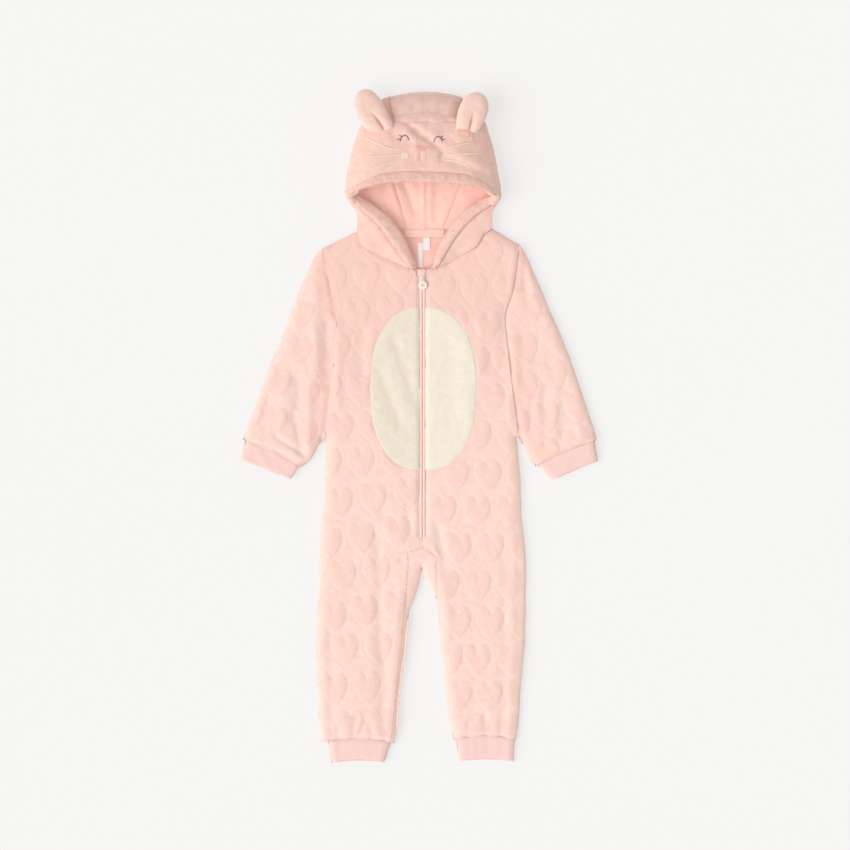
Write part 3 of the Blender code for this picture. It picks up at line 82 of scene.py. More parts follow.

HEARTS_LEFT = [
    (-112, 436), (-70, 438), (-120, 384), (-75, 387), (-31, 388), (-132, 334), (-89, 336),
    (-43, 343), (-116, 291), (-76, 297), (-128, 238), (-85, 236), (-112, 184), (-70, 188),
    (-128, 136), (-83, 138), (-39, 141), (-113, 83), (-67, 89), (-21, 96), (-127, 29), (-83, 36),
    (-35, 44), (-108, -15), (-62, -10), (-121, -71), (-79, -63), (-36, -56), (-105, -114),
    (-60, -113), (-120, -168), (-75, -165), (-98, -216), (-57, -213),
]
HEARTS_RIGHT = [
    (46, 417), (90, 417), (26, 371), (69, 371), (112, 372), (43, 324), (87, 322), (130, 322),
    (72, 273), (112, 273), (92, 223), (74, 173), (117, 173), (44, 120), (88, 120), (130, 120),
    (27, 72), (73, 72), (117, 72), (47, 22), (91, 22), (134, 22), (31, -28), (74, -28),
    (117, -28), (47, -78), (91, -78), (131, -78), (36, -128), (73, -128), (118, -128),
    (48, -177), (89, -177), (129, -177), (71, -225), (112, -225),
]
HEARTS_SLEEVE_LEFT = [
    (-131, 429), (-134, 378), (-166, 338), (-123, 323), (-206, 296), (-169, 288), (-128, 270),
    (-197, 245), (-159, 230), (-202, 193), (-162, 178), (-236, 200), (-234, 153),
]
HEARTS_SLEEVE_RIGHT = [
    (146, 398), (144, 344), (177, 306), (138, 291), (177, 254), (138, 241), (208, 214),
    (167, 200), (128, 188), (209, 165), (168, 149), (218, 262), (186, 356),
]
SLEEVE_HEARTS = 0.85     # how strongly they stand out on the sleeves
SLEEVE_TONE = 0.9       # how much of their colour shows there
HEART_TILTS = {"left": 2.0, "right": 0.0, "sleeve_left": -14.0, "sleeve_right": 13.0}

# Soft folds of the cloth: positive heights are ridges, negative ones are troughs
FOLDS = [
    # x and y at each end, half width, height
    (-116, 326, -114, 214, 7, 1.4),
    (-84, 317, -82, 259, 9, -1.7),
    (-20, 80, -18, 50, 6, -1.2),
    (-60, 38, -58, -25, 8, -1.4),
    (-58, -43, -56, -124, 8, -1.8),
    (-52, -120, -50, -236, 10, -2.2),
    (-125, -90, -123, -225, 9, -1.3),
    (-21, 18, -31, 7, 3, -1.5),
    (-30, -12, -34, -90, 7, 0.8),
    (-91, -205, -95, -238, 5, -1.4),
    (-70, -214, -68, -238, 5, -1.1),
    (-112, -216, -114, -238, 5, -1.0),
    (-62, 60, -26, 30, 9, 0.9),
    (77, 326, 78, 259, 9, 1.3),
    (110, 350, 110, 236, 10, -2.0),
    (129, 225, 133, 88, 8, -1.5),
    (133, 80, 131, -230, 8, -1.8),
    (111, 10, 109, -240, 7, -1.0),
    (28, 0, 32, -100, 7, 1.2),
    (21, 50, 30, -1, 8, -2.2),
    (16, 24, 23, 9, 4, 1.2),
    (84, -203, 84, -236, 5, -1.5),
    (104, -212, 106, -236, 5, -1.1),
    (62, -212, 60, -236, 5, -1.1),
    (-36, 300, -10, 225, 10, -0.9),
    (-58, 262, -30, 190, 10, -0.9),
    (37, 300, 37, 200, 14, -0.45),
    (58, 300, 60, 200, 12, 0.4),
    (-129, 326, -129, 245, 8, -3.0),
    (-145, 372, -145, 255, 7, 1.6),
    (-168, 252, -167, 214, 6, -2.0),
    (-173, 202, -163, 155, 6, -2.6),
    (-154, 250, -154, 165, 7, 1.8),
    (-186, 240, -190, 180, 8, 1.2),
    (-197, 173, -156, 146, 3.5, -1.8),
    (-208, 225, -213, 190, 6, -1.6),
    (138, 416, 139, 371, 5, -2.2),
    (124, 425, 121, 372, 6, 1.5),
    (150, 400, 152, 360, 6, 1.0),
    (117, 300, 129, 190, 19, 2.2),
    (133, 305, 135, 215, 7, -1.0),
    (166, 243, 166, 184, 7, -1.0),
    (147, 236, 145, 180, 7, -0.8),
    (156, 240, 155, 165, 8, 0.8),
    (178, 235, 176, 165, 9, 1.0),
    (192, 213, 190, 180, 7, -1.0),
    (152, 148, 185, 169, 5, -1.0),
    (205, 200, 215, 172, 6, 1.2),
]

# Folds of the hood's back as it shows through the opening, and of the face panel
HOOD_FOLDS = [
    (1.2, 535, 1.2, 456, 4, 1.5),
    (-28, 525, -10, 478, 7, -2.4),
    (-44, 520, -30, 478, 7, 1.2),
    (24, 530, 18, 466, 8, -0.8),
    (12, 530, 10, 466, 5, 0.8),
    (-70, 560, -56, 478, 12, 1.2),
    (74, 560, 60, 478, 12, 1.2),
]
FACE_FOLDS = [
    (-22, 596, -8, 584, 4.5, -2.4),
    (-8, 584, 6, 574, 4.5, -3.0),
    (6, 574, 20, 563.5, 4.5, -2.6),
    (-24, 587, -10, 573, 5, 1.4),
    (2, 589, 20, 578, 7, 1.6),
    (26.5, 562, 25, 545, 4, -1.5),
    (45, 558, 80, 538, 9, 1.8),
    (33, 546, 84, 527, 6, -2.2),
    (-44, 589, -37, 578, 6, -1.3),
    (-8, 560.5, 7, 560.5, 6, 1.3),
    (-7, 555, -8, 544.5, 1.7, 0.7),
    (3, 555, 2.5, 544, 1.7, 0.7),
    (-2.6, 556, -2.8, 545, 2.0, -0.7),
    (-86, 552, -58, 534, 10, 0.9),
    (-60, 592, -84, 566, 9, -1.0),
    (-58, 527.5, -1, 530.5, 2.2, -0.9),
    (-1, 530.5, 62, 527.0, 2.2, -0.9),
]

# Ears: outline, crease from its upper end to the foot, and height of the middle by y
EARS = {
    "ear_left": {
        "outline": [(-80, 592), (-87.5, 606), (-92, 620), (-89.7, 633), (-83.5, 639.6),
                    (-76, 641.4), (-68, 639), (-60.4, 632), (-54.2, 624), (-49.2, 614.5),
                    (-44.3, 604), (-40, 594), (-41, 587), (-51, 583), (-65, 582), (-74, 585)],
        "crease": [(-70.5, 613), (-62, 602), (-52, 587), (-49, 582)],
    },
    "ear_right": {
        "outline": [(44.8, 587), (46, 604), (49.8, 618), (55, 628.4), (62, 634.6), (71.3, 637),
                    (79.9, 635.4), (86.4, 628.6), (89, 618.4), (87.5, 608), (83.6, 598),
                    (78, 588), (71.5, 581), (63, 581.5), (54, 584)],
        "crease": [(69.8, 612.5), (66.5, 600), (63.6, 587), (62, 581)],
    },
}
EAR_MIDDLE = [(580, 26.5), (590, 31.5), (603, 33.5), (642, 24.5)]
EAR_HALF_THICK = 7.0

# Embroidery on the face panel, drawn as lines of points
WHISKERS = [
    [(-78, 577.3), (-61.4, 569.7), (-44.7, 562.5), (-30.8, 561.6)],
    [(-74.1, 550.8), (-52, 552.4), (-30.8, 553.2)],
    [(-79.7, 526.5), (-68.7, 534.6), (-49.3, 541.6), (-30.8, 544.7)],
    [(34.4, 563.4), (48, 567), (62.5, 570.2)],
    [(33.9, 553.5), (56, 555.2), (79.5, 555.9)],
    [(27.7, 547.4), (44.7, 545.1), (58.7, 540.0), (64.1, 536.0)],
]
EYES = [
    [(-30.4, 572.4), (-28.4, 577.2), (-24.2, 580.4), (-20.6, 578.4), (-18.6, 573.8)],
    [(15.1, 570.5), (16.9, 575.6), (20.8, 578.6), (24.6, 576.6), (26.7, 572.0)],
]
LASHES = [
    [(-29.6, 575.4), (-34.2, 574.7)],
    [(-27.6, 578.3), (-31.7, 580.2)],
    [(25.9, 574.4), (29.8, 574.9)],
    [(24.4, 576.9), (27.6, 579.4)],
]
NOSE = {"top": 565.0, "low": 559.0, "half_top": 7.8, "half_low": 2.6, "x": -1.0}
MOUTH = [[(-4.4, 556.5), (-4.8, 550), (-5.2, 545)], [(1.0, 556.5), (0.9, 550), (0.6, 544.5)]]

# Zip
ZIP_FOOT, ZIP_HEAD = 39.0, 378.0
GUARD_PADS = [          # outline, top and edge height of the facing and of the tab
    ([(-15, 401), (-14, 393), (-9, 388), (0, 387), (9, 388), (14, 393), (15, 401), (8, 400), (0, 398.6),
      (-8, 400)], 8.6, 7.0),
    ([(-5.6, 399.5), (-6.0, 394), (-4.6, 389.5), (-0.5, 388.2), (3.6, 389.5), (5.2, 394), (5.6, 398.5),
      (0, 400)], 10.0, 8.0),
]
TEETH_PITCH = 1.5


# ---------------------------------------------------------------- points and lines

def to_frame(points):
    """Pattern millimetres as the frame's metres."""
    return (np.asarray(points, float) + ORIGIN) * MM


def quarter(t):
    """Rise of a quarter circle, from 0 at t = 0 to 1 at t = 1 and beyond."""
    t = np.clip(t, 0, 1)
    return np.sqrt(1 - (1 - t) ** 2)


def smooth_step(t):
    t = np.clip(t, 0, 1)
    return t * t * (3 - 2 * t)


def pairs(line, close=False):
    """The segments of a line as pairs of points."""
    line = [np.asarray(p, float) for p in line]
    return list(zip(line, line[1:] + line[:1] if close else line[1:]))


def distance(points, segments, axes=2):
    """Distance of each point to the nearest of the segments: in plan, or in space with 3 axes."""
    points = np.asarray(points, float)[:, :axes]
    best = np.full(len(points), 1e6)
    for a, b in segments:
        a, b = a[:axes], b[:axes]
        along = b - a
        t = np.clip(((points - a) @ along) / max(along @ along, 1e-9), 0, 1)
        gap = points - a - t[:, None] * along
        best = np.minimum(best, (gap * gap).sum(axis=1))
    return np.sqrt(best)


def inside(points, outline):
    """Which points lie inside a closed outline, in plan."""
    points = np.asarray(points, float)
    hit = np.zeros(len(points), bool)
    for a, b in pairs(outline, close=True):
        crosses = (a[1] > points[:, 1]) != (b[1] > points[:, 1])
        x_cross = (b[0] - a[0]) * (points[:, 1] - a[1]) / ((b[1] - a[1]) or 1e-9) + a[0]
        hit ^= crosses & (points[:, 0] < x_cross)
    return hit


def smooth_line(controls, step):
    """Points along a Catmull-Rom curve through the control points."""
    points = [np.asarray(p, float) for p in controls]
    ends = [2 * points[0] - points[1]] + points + [2 * points[-1] - points[-2]]
    line = []
    for a, b, c, d in zip(ends, ends[1:], ends[2:], ends[3:]):
        count = max(1, round(np.linalg.norm(c - b) / step))
        for i in range(count):
            t = i / count
            line.append(0.5 * (2 * b + (c - a) * t + (2 * a - 5 * b + 4 * c - d) * t ** 2
                               + (3 * b - a - 3 * c + d) * t ** 3))
    return np.array(line + [points[-1]])


def fold_height(points, folds, wider=1.0, share=1.0):
    """Sum of the ridges and troughs at each point; they may be made wider or flatter."""
    total = np.zeros(len(points))
    for x0, y0, x1, y1, half_wide, height in folds:
        gap = distance(points, [(np.array((x0, y0)), np.array((x1, y1)))])
        total += height * np.exp(-1.5 * (gap / half_wide / wider) ** 2)
    return total * share


def clumps(points, size, seed=0.0):
    """Smooth noise from -1 to 1 with patches of about the given size."""
    shift = Vector((seed * 7.3, seed * 3.1, seed))
    return np.array([noise.noise(Vector(p) / size + shift) for p in points])


def plush_noise(points, strength=1.0):
    """The uneven surface of short pile: soft waves, clumps and single tufts."""
    return strength * (0.45 * clumps(points, 34.0, 1) + 0.28 * clumps(points, 9.0, 2)
                       + 0.13 * clumps(points, 3.2, 3))


# ---------------------------------------------------------------- hearts

def heart_outline(tilt):
    """A heart's outline round its middle, tip down."""
    half = smooth_line([(x * HEART_WIDE / 2, y * HEART_TALL / 2) for x, y in HEART_HALF], 3.0)
    ring = np.concatenate([half, half[-2:0:-1] * (-1, 1)])
    c, s = math.cos(math.radians(tilt)), math.sin(math.radians(tilt))
    return ring @ np.array(((c, s), (-s, c)))


def heart_field(points, centres, tilt, strength=1.0):
    """How high the hearts stand at each point, how far it is inside one (0 to 1), and its tone, with painted shade
    along each heart's right flank.
    """
    rise, within, tone = np.zeros(len(points)), np.zeros(len(points)), np.zeros(len(points))
    outline = heart_outline(tilt)
    for centre in centres:
        local = points[:, :2] - centre
        near = np.flatnonzero((np.abs(local) < (26, 30)).all(axis=1))
        if not len(near):
            continue
        gap = distance(local[near], pairs(outline, close=True))
        gap[~inside(local[near], outline)] *= -1
        right = smooth_step((local[near, 0] + 1) / 13) * smooth_step((17 - local[near, 1]) / 12)
        dome = 1 - np.exp(-np.maximum(gap, 0) / (HEART_SLOPE + (RIGHT_SLOPE - HEART_SLOPE) * right))
        groove = HEART_GROOVE * np.exp(-((gap + 0.8) / 2.2) ** 2)
        rise[near] += strength * (HEART_RISE * dome - groove)
        within[near] = np.maximum(within[near], smooth_step((gap + 1.8) / 4.6))
        # painted shade: a darker crescent along each heart's right flank
        painted_crescent = CRESCENT_PAINTED_SHADE * right * np.exp(-((gap - 0.5) / 1.9) ** 2)
        tone[near] = np.maximum(tone[near], HEART_TONE * smooth_step((gap + 1.8) / 6.5) + painted_crescent)
    return rise, within, np.clip(tone, 0, 1)


def lattice(first, across, down, stagger, rows, columns):
    """Heart centres in staggered rows; first is one centre of row 0."""
    return [np.array(first) + np.array(down) * row + np.array(across) * (column + stagger * (row % 2))
            for row in rows for column in columns]


# ---------------------------------------------------------------- skins and soft solids

CROWN_TILT = 0.2        # the crown's skin ends where it turns steeper than this



def cad_copy(node):
    """A solid's mesh, merged, in pattern millimetres."""
    bm = bmesh.new()
    bm.from_mesh(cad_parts[node].data)
    bmesh.ops.remove_doubles(bm, verts=bm.verts, dist=2e-6)
    for vert in bm.verts:
        vert.co = vert.co / MM - Vector(ORIGIN)
    bm.normal_update()
    return bm


def outer_skin(bm, side, below=99.0, tilt=0.04):
    """The faces of the outer upper (1) or outer lower (-1) skin, starting under a height."""
    facing = {f for f in bm.faces if side * f.normal.z > tilt}
    start = max((f for f in facing if f.calc_center_median().z < below),
                key=lambda f: side * f.calc_center_median().z)
    skin, edge = {start}, [start]
    while edge:
        for link in edge.pop().edges:
            for face in link.link_faces:
                if face in facing and face not in skin:
                    skin.add(face)
                    edge.append(face)
    return skin


def rim_loop(rim_edges):
    """The vertices along a closed loop of edges, in order."""
    links = {}
    for edge in rim_edges:
        for vert in edge.verts:
            links.setdefault(vert, []).append(edge.other_vert(vert))
    start = next(iter(links))
    loop, last, here = [start], None, start
    while True:
        ahead = next((v for v in links[here] if v is not last), None)
        if ahead is start or ahead is None:
            return loop
        loop.append(ahead)
        last, here = here, ahead


def cad_rim(node, side=1):
    """The outline of a solid's outer skin, with heights, anticlockwise."""
    bm = cad_copy(node)
    skin = outer_skin(bm, side, tilt=CROWN_TILT if node == "hood_centre" else 0.04)
    loop = rim_loop([e for e in bm.edges if sum(f in skin for f in e.link_faces) == 1])
    rim = np.array([v.co[:] for v in loop])
    bm.free()
    area = np.sum(rim[:, 0] * np.roll(rim[:, 1], -1) - np.roll(rim[:, 0], -1) * rim[:, 1])
    return rim if area > 0 else rim[::-1]


def turned_on(rim):
    """A rim's points in plan, with each short step backwards turned forwards."""
    plan = rim[:, :2].copy()
    for at in range(len(plan)):
        after, last = (at + 1) % len(plan), (at + 2) % len(plan)
        step, onwards = plan[after] - plan[at], plan[last] - plan[at - 1]
        if np.linalg.norm(step) < 2 and step @ onwards < 0:
            plan[[at, after]] = plan[[after, at]]
    return plan


def outward(rim, amounts):
    """The steps in plan that take a rim's points out by these amounts."""
    rim = turned_on(rim)
    ahead, behind = np.roll(rim, -1, axis=0)[:, :2], np.roll(rim, 1, axis=0)[:, :2]
    along = (ahead - rim[:, :2]) / np.linalg.norm(ahead - rim[:, :2], axis=1)[:, None]
    along += (rim[:, :2] - behind) / np.linalg.norm(rim[:, :2] - behind, axis=1)[:, None]
    along /= np.linalg.norm(along, axis=1)[:, None]
    return np.stack([along[:, 1], -along[:, 0]], axis=1) * np.asarray(amounts)[:, None]


def swell(bm, rim, amounts):
    """Move the rim's walls out by an amount at each of its points."""
    steps = outward(rim, amounts) + turned_on(rim) - rim[:, :2]
    for vert in bm.verts:
        gaps = np.linalg.norm(rim[:, :2] - np.array(vert.co[:2]), axis=1)
        at = int(gaps.argmin())
        if gaps[at] < 1.2:
            vert.co.x += steps[at][0]
            vert.co.y += steps[at][1]


def relay(bm, side, spacing, height, coarse=None, below=99.0, tilt=0.04, laid=False):
    """Replace an outer skin by a fine one. height gives z, the heart tone and the seam mark of painted shade.

    The rim of a lower skin stays where it is, unless it is laid like its inside.
    """
    hearts = bm.verts.layers.float.get("heart") or bm.verts.layers.float.new("heart")
    seams = bm.verts.layers.float.get("seam") or bm.verts.layers.float.new("seam")
    pile = bm.faces.layers.float.get("pile") or bm.faces.layers.float.new("pile")
    skin = outer_skin(bm, side, below, tilt)
    rim_edges = [e for e in bm.edges if sum(f in skin for f in e.link_faces) == 1]
    bmesh.ops.delete(bm, geom=list(skin), context="FACES")
    rim_edges = [e for e in rim_edges if e.is_valid]
    for edge in rim_edges:
        cuts = round(edge.calc_length() / spacing) - 1
        if cuts > 0:
            bmesh.ops.subdivide_edges(bm, edges=[edge], cuts=cuts)
    loop = rim_loop([e for e in bm.edges if len(e.link_faces) == 1])
    rim = np.array([v.co[:] for v in loop])
    low, high = rim.min(axis=0), rim.max(axis=0)
    grid = []
    for row in range(int((high[1] - low[1]) / (spacing * 0.87)) + 1):
        xs = np.arange(low[0] + spacing * (0.25 if row % 2 else 0.75), high[0], spacing)
        grid.append(np.stack([xs, np.full(len(xs), low[1] + (row + 0.5) * spacing * 0.87)], axis=1))
    grid = np.concatenate(grid)
    grid = grid[inside(grid, rim)]
    if coarse is not None:
        hidden = inside(grid, coarse) & (distance(grid, pairs(coarse, close=True)) > 5)
        every = (np.abs(grid[:, 0] / spacing).astype(int) % 4 + np.abs(grid[:, 1] / spacing).astype(int) % 4) == 0
        grid = grid[~hidden | every]
    grid = grid[distance(grid, pairs(rim, close=True)) > spacing * 0.6]
    points = np.concatenate([rim[:, :2], grid])
    flat, _, faces, origins, _, _ = delaunay_2d_cdt([Vector(p) for p in points], [],
                                                    [list(range(len(rim)))], 1, 1e-4)
    verts = []
    for place, origin, z, in_heart, painted_seam_shade in zip(flat, origins, *height(np.array(flat))):
        on_rim = origin and origin[0] < len(rim)
        vert = loop[origin[0]] if on_rim else bm.verts.new((place.x, place.y, z))
        vert[hearts], vert[seams] = in_heart, painted_seam_shade
        if side > 0 or laid:
            vert.co.z = z
        verts.append(vert)
    for face in faces:
        corners = [verts[i] for i in face]
        try:
            made = bm.faces.new(corners if side > 0 else corners[::-1])
        except ValueError:
            continue
        made[pile] = 1.0
    bmesh.ops.triangulate(bm, faces=[f for f in bm.faces if len(f.verts) > 3])


def as_object(name, bm, material, smooth=True):
    """Finish a mesh in pattern millimetres as a piece in the frame's metres."""
    for vert in bm.verts:
        vert.co = Vector(to_frame(vert.co))
    bmesh.ops.recalc_face_normals(bm, faces=bm.faces)
    mesh = bpy.data.meshes.new(name)
    bm.to_mesh(mesh)
    bm.free()
    return mesh_object(name, mesh, material, smooth)


def mesh_object(name, mesh, material, smooth=True):
    made = bpy.data.objects.new(name, mesh)
    bpy.context.scene.collection.objects.link(made)
    if smooth:
        mesh.shade_smooth()
    mesh.materials.clear()
    mesh.materials.append(material)
    return made


def evaluated_mesh(obj):
    """The object's mesh with its modifiers, as a plain mesh; the object goes."""
    bpy.context.view_layer.update()
    graph = bpy.context.evaluated_depsgraph_get()
    mesh = bpy.data.meshes.new_from_object(obj.evaluated_get(graph), depsgraph=graph)
    bpy.data.objects.remove(obj, do_unlink=True)
    return mesh


def soft_solid(name, node, material, voxel=1.2, rounds=8, proud=0.25, pile=0.5, shape=None):
    """A solid with its facets and corners softened, as stuffed or rolled cloth is."""
    body = as_object(name, cad_copy(node), material)
    remesh = body.modifiers.new("even", "REMESH")
    remesh.mode, remesh.voxel_size = "VOXEL", voxel * MM
    soften = body.modifiers.new("soften", "SMOOTH")
    soften.factor, soften.iterations = 0.5, rounds
    mesh = evaluated_mesh(body)
    count = len(mesh.vertices)
    points, normals = np.empty(count * 3), np.empty(count * 3)
    mesh.vertices.foreach_get("co", points)
    mesh.vertices.foreach_get("normal", normals)
    points, normals = points.reshape(-1, 3) / MM - ORIGIN, normals.reshape(-1, 3)
    points = points + normals * (proud + plush_noise(points, pile))[:, None]
    if shape:
        points = shape(points, normals)
    mesh.vertices.foreach_set("co", to_frame(points).ravel())
    for mark in ("heart", "seam"):
        mesh.attributes.new(mark, "FLOAT", "POINT")
    made = mesh.attributes.new("pile", "FLOAT", "FACE")
    made.data.foreach_set("value", np.ones(len(mesh.polygons)))
    mesh.update()
    return mesh_object(name, mesh, material)


# ---------------------------------------------------------------- node helpers

def add_node(tree, kind, inputs=(), **settings):
    """A node with its settings and inputs; an input is a value or another node's socket."""
    node = tree.nodes.new(kind)
    for key, value in settings.items():
        setattr(node, key, value)
    for key, value in dict(inputs).items():
        if isinstance(value, bpy.types.NodeSocket):
            tree.links.new(value, node.inputs[key])
        else:
            node.inputs[key].default_value = value
    return node


def mixed(tree, factor, first, second):
    """The colour output of a mix node."""
    node = tree.nodes.new("ShaderNodeMix")
    node.data_type = "RGBA"
    for index, value in ((0, factor), (6, first), (7, second)):
        if isinstance(value, bpy.types.NodeSocket):
            tree.links.new(value, node.inputs[index])
        else:
            node.inputs[index].default_value = value
    return node.outputs[2]


def spread(tree, value, low, high):
    """A value stretched to 0 to 1 between two limits."""
    return add_node(tree, "ShaderNodeMapRange", {0: value, 1: low, 2: high, 3: 0.0, 4: 1.0}).outputs[0]


# ---------------------------------------------------------------- materials

def new_material(name):
    material = bpy.data.materials.new(name)
    material.use_nodes = True
    tree = material.node_tree
    return material, tree, tree.nodes["Principled BSDF"]


def plush_material(name, light, deep, heart=None, top_painted_shade=None, sheen=0.45, tuft=1.0, painted_glow=0.0):
    """Short soft pile: two close tones, a deeper one in the hearts, tufts and a velvet sheen.

    The chest tone is painted shade, darker towards the top; the glow is painted light that stands in for the light
    coming through the cloth.
    """
    material, tree, shader = new_material(name)
    place = add_node(tree, "ShaderNodeTexCoord").outputs["Object"]
    clump = add_node(tree, "ShaderNodeTexNoise", {"Vector": place, "Scale": 90.0, "Detail": 3.0,
                                                  "Roughness": 0.55}).outputs[0]
    fine = add_node(tree, "ShaderNodeTexNoise", {"Vector": place, "Scale": 620.0, "Detail": 2.0,
                                                 "Roughness": 0.6}).outputs[0]
    colour = mixed(tree, spread(tree, clump, 0.35, 0.68), light, deep)
    # painted shade: the colour turns to the chest tone towards the top of the garment
    if top_painted_shade:
        up = add_node(tree, "ShaderNodeSeparateXYZ", {0: place}).outputs[1]
        colour = mixed(tree, spread(tree, up, -0.08, 0.16), colour, top_painted_shade)
    if heart:
        mark = add_node(tree, "ShaderNodeAttribute", attribute_name="heart").outputs["Fac"]
        colour = mixed(tree, mark, colour, heart)
    # painted shade: the seam mark turns the colour a deeper pink near seams, creases and where the legs meet
    seam = add_node(tree, "ShaderNodeAttribute", attribute_name="seam").outputs["Fac"]
    colour = mixed(tree, seam, colour, (0.90, 0.47, 0.40, 1))
    # partly painted shade: the fine mottle is deeper where the pile dips between tufts
    colour = mixed(tree, spread(tree, fine, 0.40, 0.25), colour, deep)
    coarse_bump = add_node(tree, "ShaderNodeBump", {"Height": clump, "Strength": 0.25 * tuft,
                                                    "Distance": 0.0012}).outputs[0]
    bump = add_node(tree, "ShaderNodeBump", {"Height": fine, "Strength": 0.55 * tuft,
                                             "Distance": 0.0007, "Normal": coarse_bump}).outputs[0]
    tree.links.new(colour, shader.inputs["Base Color"])
    tree.links.new(bump, shader.inputs["Normal"])
    shader.inputs["Roughness"].default_value = 0.92
    shader.inputs["Specular IOR Level"].default_value = 0.15
    shader.inputs["Sheen Weight"].default_value = sheen
    shader.inputs["Sheen Roughness"].default_value = 0.45
    shader.inputs["Sheen Tint"].default_value = (1.0, 0.90, 0.86, 1)
    shader.inputs["Subsurface Weight"].default_value = 0.25
    shader.inputs["Subsurface Radius"].default_value = (1.0, 0.45, 0.35)
    shader.inputs["Subsurface Scale"].default_value = 0.003
    # painted light: the glow stands in for light that comes through the cloth
    shader.inputs["Emission Color"].default_value = (1.0, 0.60, 0.52, 1)
    shader.inputs["Emission Strength"].default_value = painted_glow
    return material


def tips_material(name, light, deep, painted_glow):
    """Brushed fibre tips; their glow is painted light that stands in for the light coming through them."""
    material, tree, shader = new_material(name)
    place = add_node(tree, "ShaderNodeTexCoord").outputs["Object"]
    clump = add_node(tree, "ShaderNodeTexNoise", {"Vector": place, "Scale": 160.0, "Detail": 2.0}).outputs[0]
    tree.links.new(mixed(tree, spread(tree, clump, 0.35, 0.68), light, deep), shader.inputs["Base Color"])
    shader.inputs["Roughness"].default_value = 0.9
    shader.inputs["Specular IOR Level"].default_value = 0.1
    shader.inputs["Sheen Weight"].default_value = 0.4
    shader.inputs["Sheen Tint"].default_value = (1.0, 0.90, 0.86, 1)
    shader.inputs["Emission Color"].default_value = (1.0, 0.70, 0.62, 1)
    shader.inputs["Emission Strength"].default_value = painted_glow
    return material


def knit_material(name, light, deep, angle):
    """Fine rib knit, its ribs turned by an angle in degrees."""
    material, tree, shader = new_material(name)
    place = add_node(tree, "ShaderNodeTexCoord").outputs["Object"]
    turned = add_node(tree, "ShaderNodeMapping", {"Vector": place,
                                                  "Rotation": (0, 0, math.radians(angle))}).outputs[0]
    rib = add_node(tree, "ShaderNodeTexWave", {"Vector": turned, "Scale": 105.0, "Distortion": 0.6,
                                               "Detail": 1.0}, bands_direction="X").outputs["Fac"]
    row = add_node(tree, "ShaderNodeTexWave", {"Vector": turned, "Scale": 190.0, "Distortion": 0.8,
                                               "Detail": 1.0}, bands_direction="Y").outputs["Fac"]
    patch = add_node(tree, "ShaderNodeTexNoise", {"Vector": place, "Scale": 70.0}).outputs[0]
    # painted shade: the colour is deeper in the grooves between the ribs
    colour = mixed(tree, spread(tree, rib, 0.0, 1.6), deep, light)
    colour = mixed(tree, spread(tree, patch, 0.45, 0.9), colour, deep)
    bump = add_node(tree, "ShaderNodeBump", {"Height": rib, "Strength": 0.2,
                                             "Distance": 0.0002}).outputs[0]
    bump = add_node(tree, "ShaderNodeBump", {"Height": row, "Strength": 0.25, "Distance": 0.0002,
                                             "Normal": bump}).outputs[0]
    tree.links.new(colour, shader.inputs["Base Color"])
    tree.links.new(bump, shader.inputs["Normal"])
    shader.inputs["Roughness"].default_value = 0.85
    shader.inputs["Specular IOR Level"].default_value = 0.2
    shader.inputs["Sheen Weight"].default_value = 0.15
    return material


def woven_material(name, light, deep, scale=480.0, roughness=0.7, painted_glow=0.0):
    """A tightly woven tape or label; its glow is painted light that stands in for the light coming through it."""
    material, tree, shader = new_material(name)
    place = add_node(tree, "ShaderNodeTexCoord").outputs["Object"]
    warp = add_node(tree, "ShaderNodeTexWave", {"Vector": place, "Scale": scale, "Distortion": 0.3},
                    bands_direction="X").outputs["Fac"]
    weft = add_node(tree, "ShaderNodeTexWave", {"Vector": place, "Scale": scale * 0.8, "Distortion": 0.3},
                    bands_direction="Y").outputs["Fac"]
    weave = add_node(tree, "ShaderNodeMath", {0: warp, 1: weft}, operation="MULTIPLY").outputs[0]
    # painted shade: the colour is deeper where the threads dip between crossings
    colour = mixed(tree, weave, deep, light)
    bump = add_node(tree, "ShaderNodeBump", {"Height": weave, "Strength": 0.4,
                                             "Distance": 0.0002}).outputs[0]
    tree.links.new(colour, shader.inputs["Base Color"])
    tree.links.new(bump, shader.inputs["Normal"])
    shader.inputs["Roughness"].default_value = roughness
    shader.inputs["Specular IOR Level"].default_value = 0.3
    shader.inputs["Emission Color"].default_value = (1.0, 0.93, 0.92, 1)
    shader.inputs["Emission Strength"].default_value = painted_glow
    return material


def thread_material(name, colour, deep, roughness=0.5):
    """Embroidery thread with a silky twist."""
    material, tree, shader = new_material(name)
    place = add_node(tree, "ShaderNodeTexCoord").outputs["Object"]
    twist = add_node(tree, "ShaderNodeTexNoise", {"Vector": place, "Scale": 1500.0,
                                                  "Detail": 1.0}).outputs[0]
    tone = mixed(tree, spread(tree, twist, 0.35, 0.7), colour, deep)
    bump = add_node(tree, "ShaderNodeBump", {"Height": twist, "Strength": 0.3,
                                             "Distance": 0.0001}).outputs[0]
    tree.links.new(tone, shader.inputs["Base Color"])
    tree.links.new(bump, shader.inputs["Normal"])
    shader.inputs["Roughness"].default_value = roughness
    shader.inputs["Sheen Weight"].default_value = 0.2
    return material


def moulded_material(name, colour, deep, roughness):
    """Painted metal or moulded rubber with a faint mottle."""
    material, tree, shader = new_material(name)
    place = add_node(tree, "ShaderNodeTexCoord").outputs["Object"]
    mottle = add_node(tree, "ShaderNodeTexNoise", {"Vector": place, "Scale": 260.0,
                                                   "Detail": 4.0}).outputs[0]
    tone = mixed(tree, spread(tree, mottle, 0.4, 0.9), colour, deep)
    bump = add_node(tree, "ShaderNodeBump", {"Height": mottle, "Strength": 0.06,
                                             "Distance": 0.0002}).outputs[0]
    tree.links.new(tone, shader.inputs["Base Color"])
    tree.links.new(bump, shader.inputs["Normal"])
    shader.inputs["Roughness"].default_value = roughness
    return material


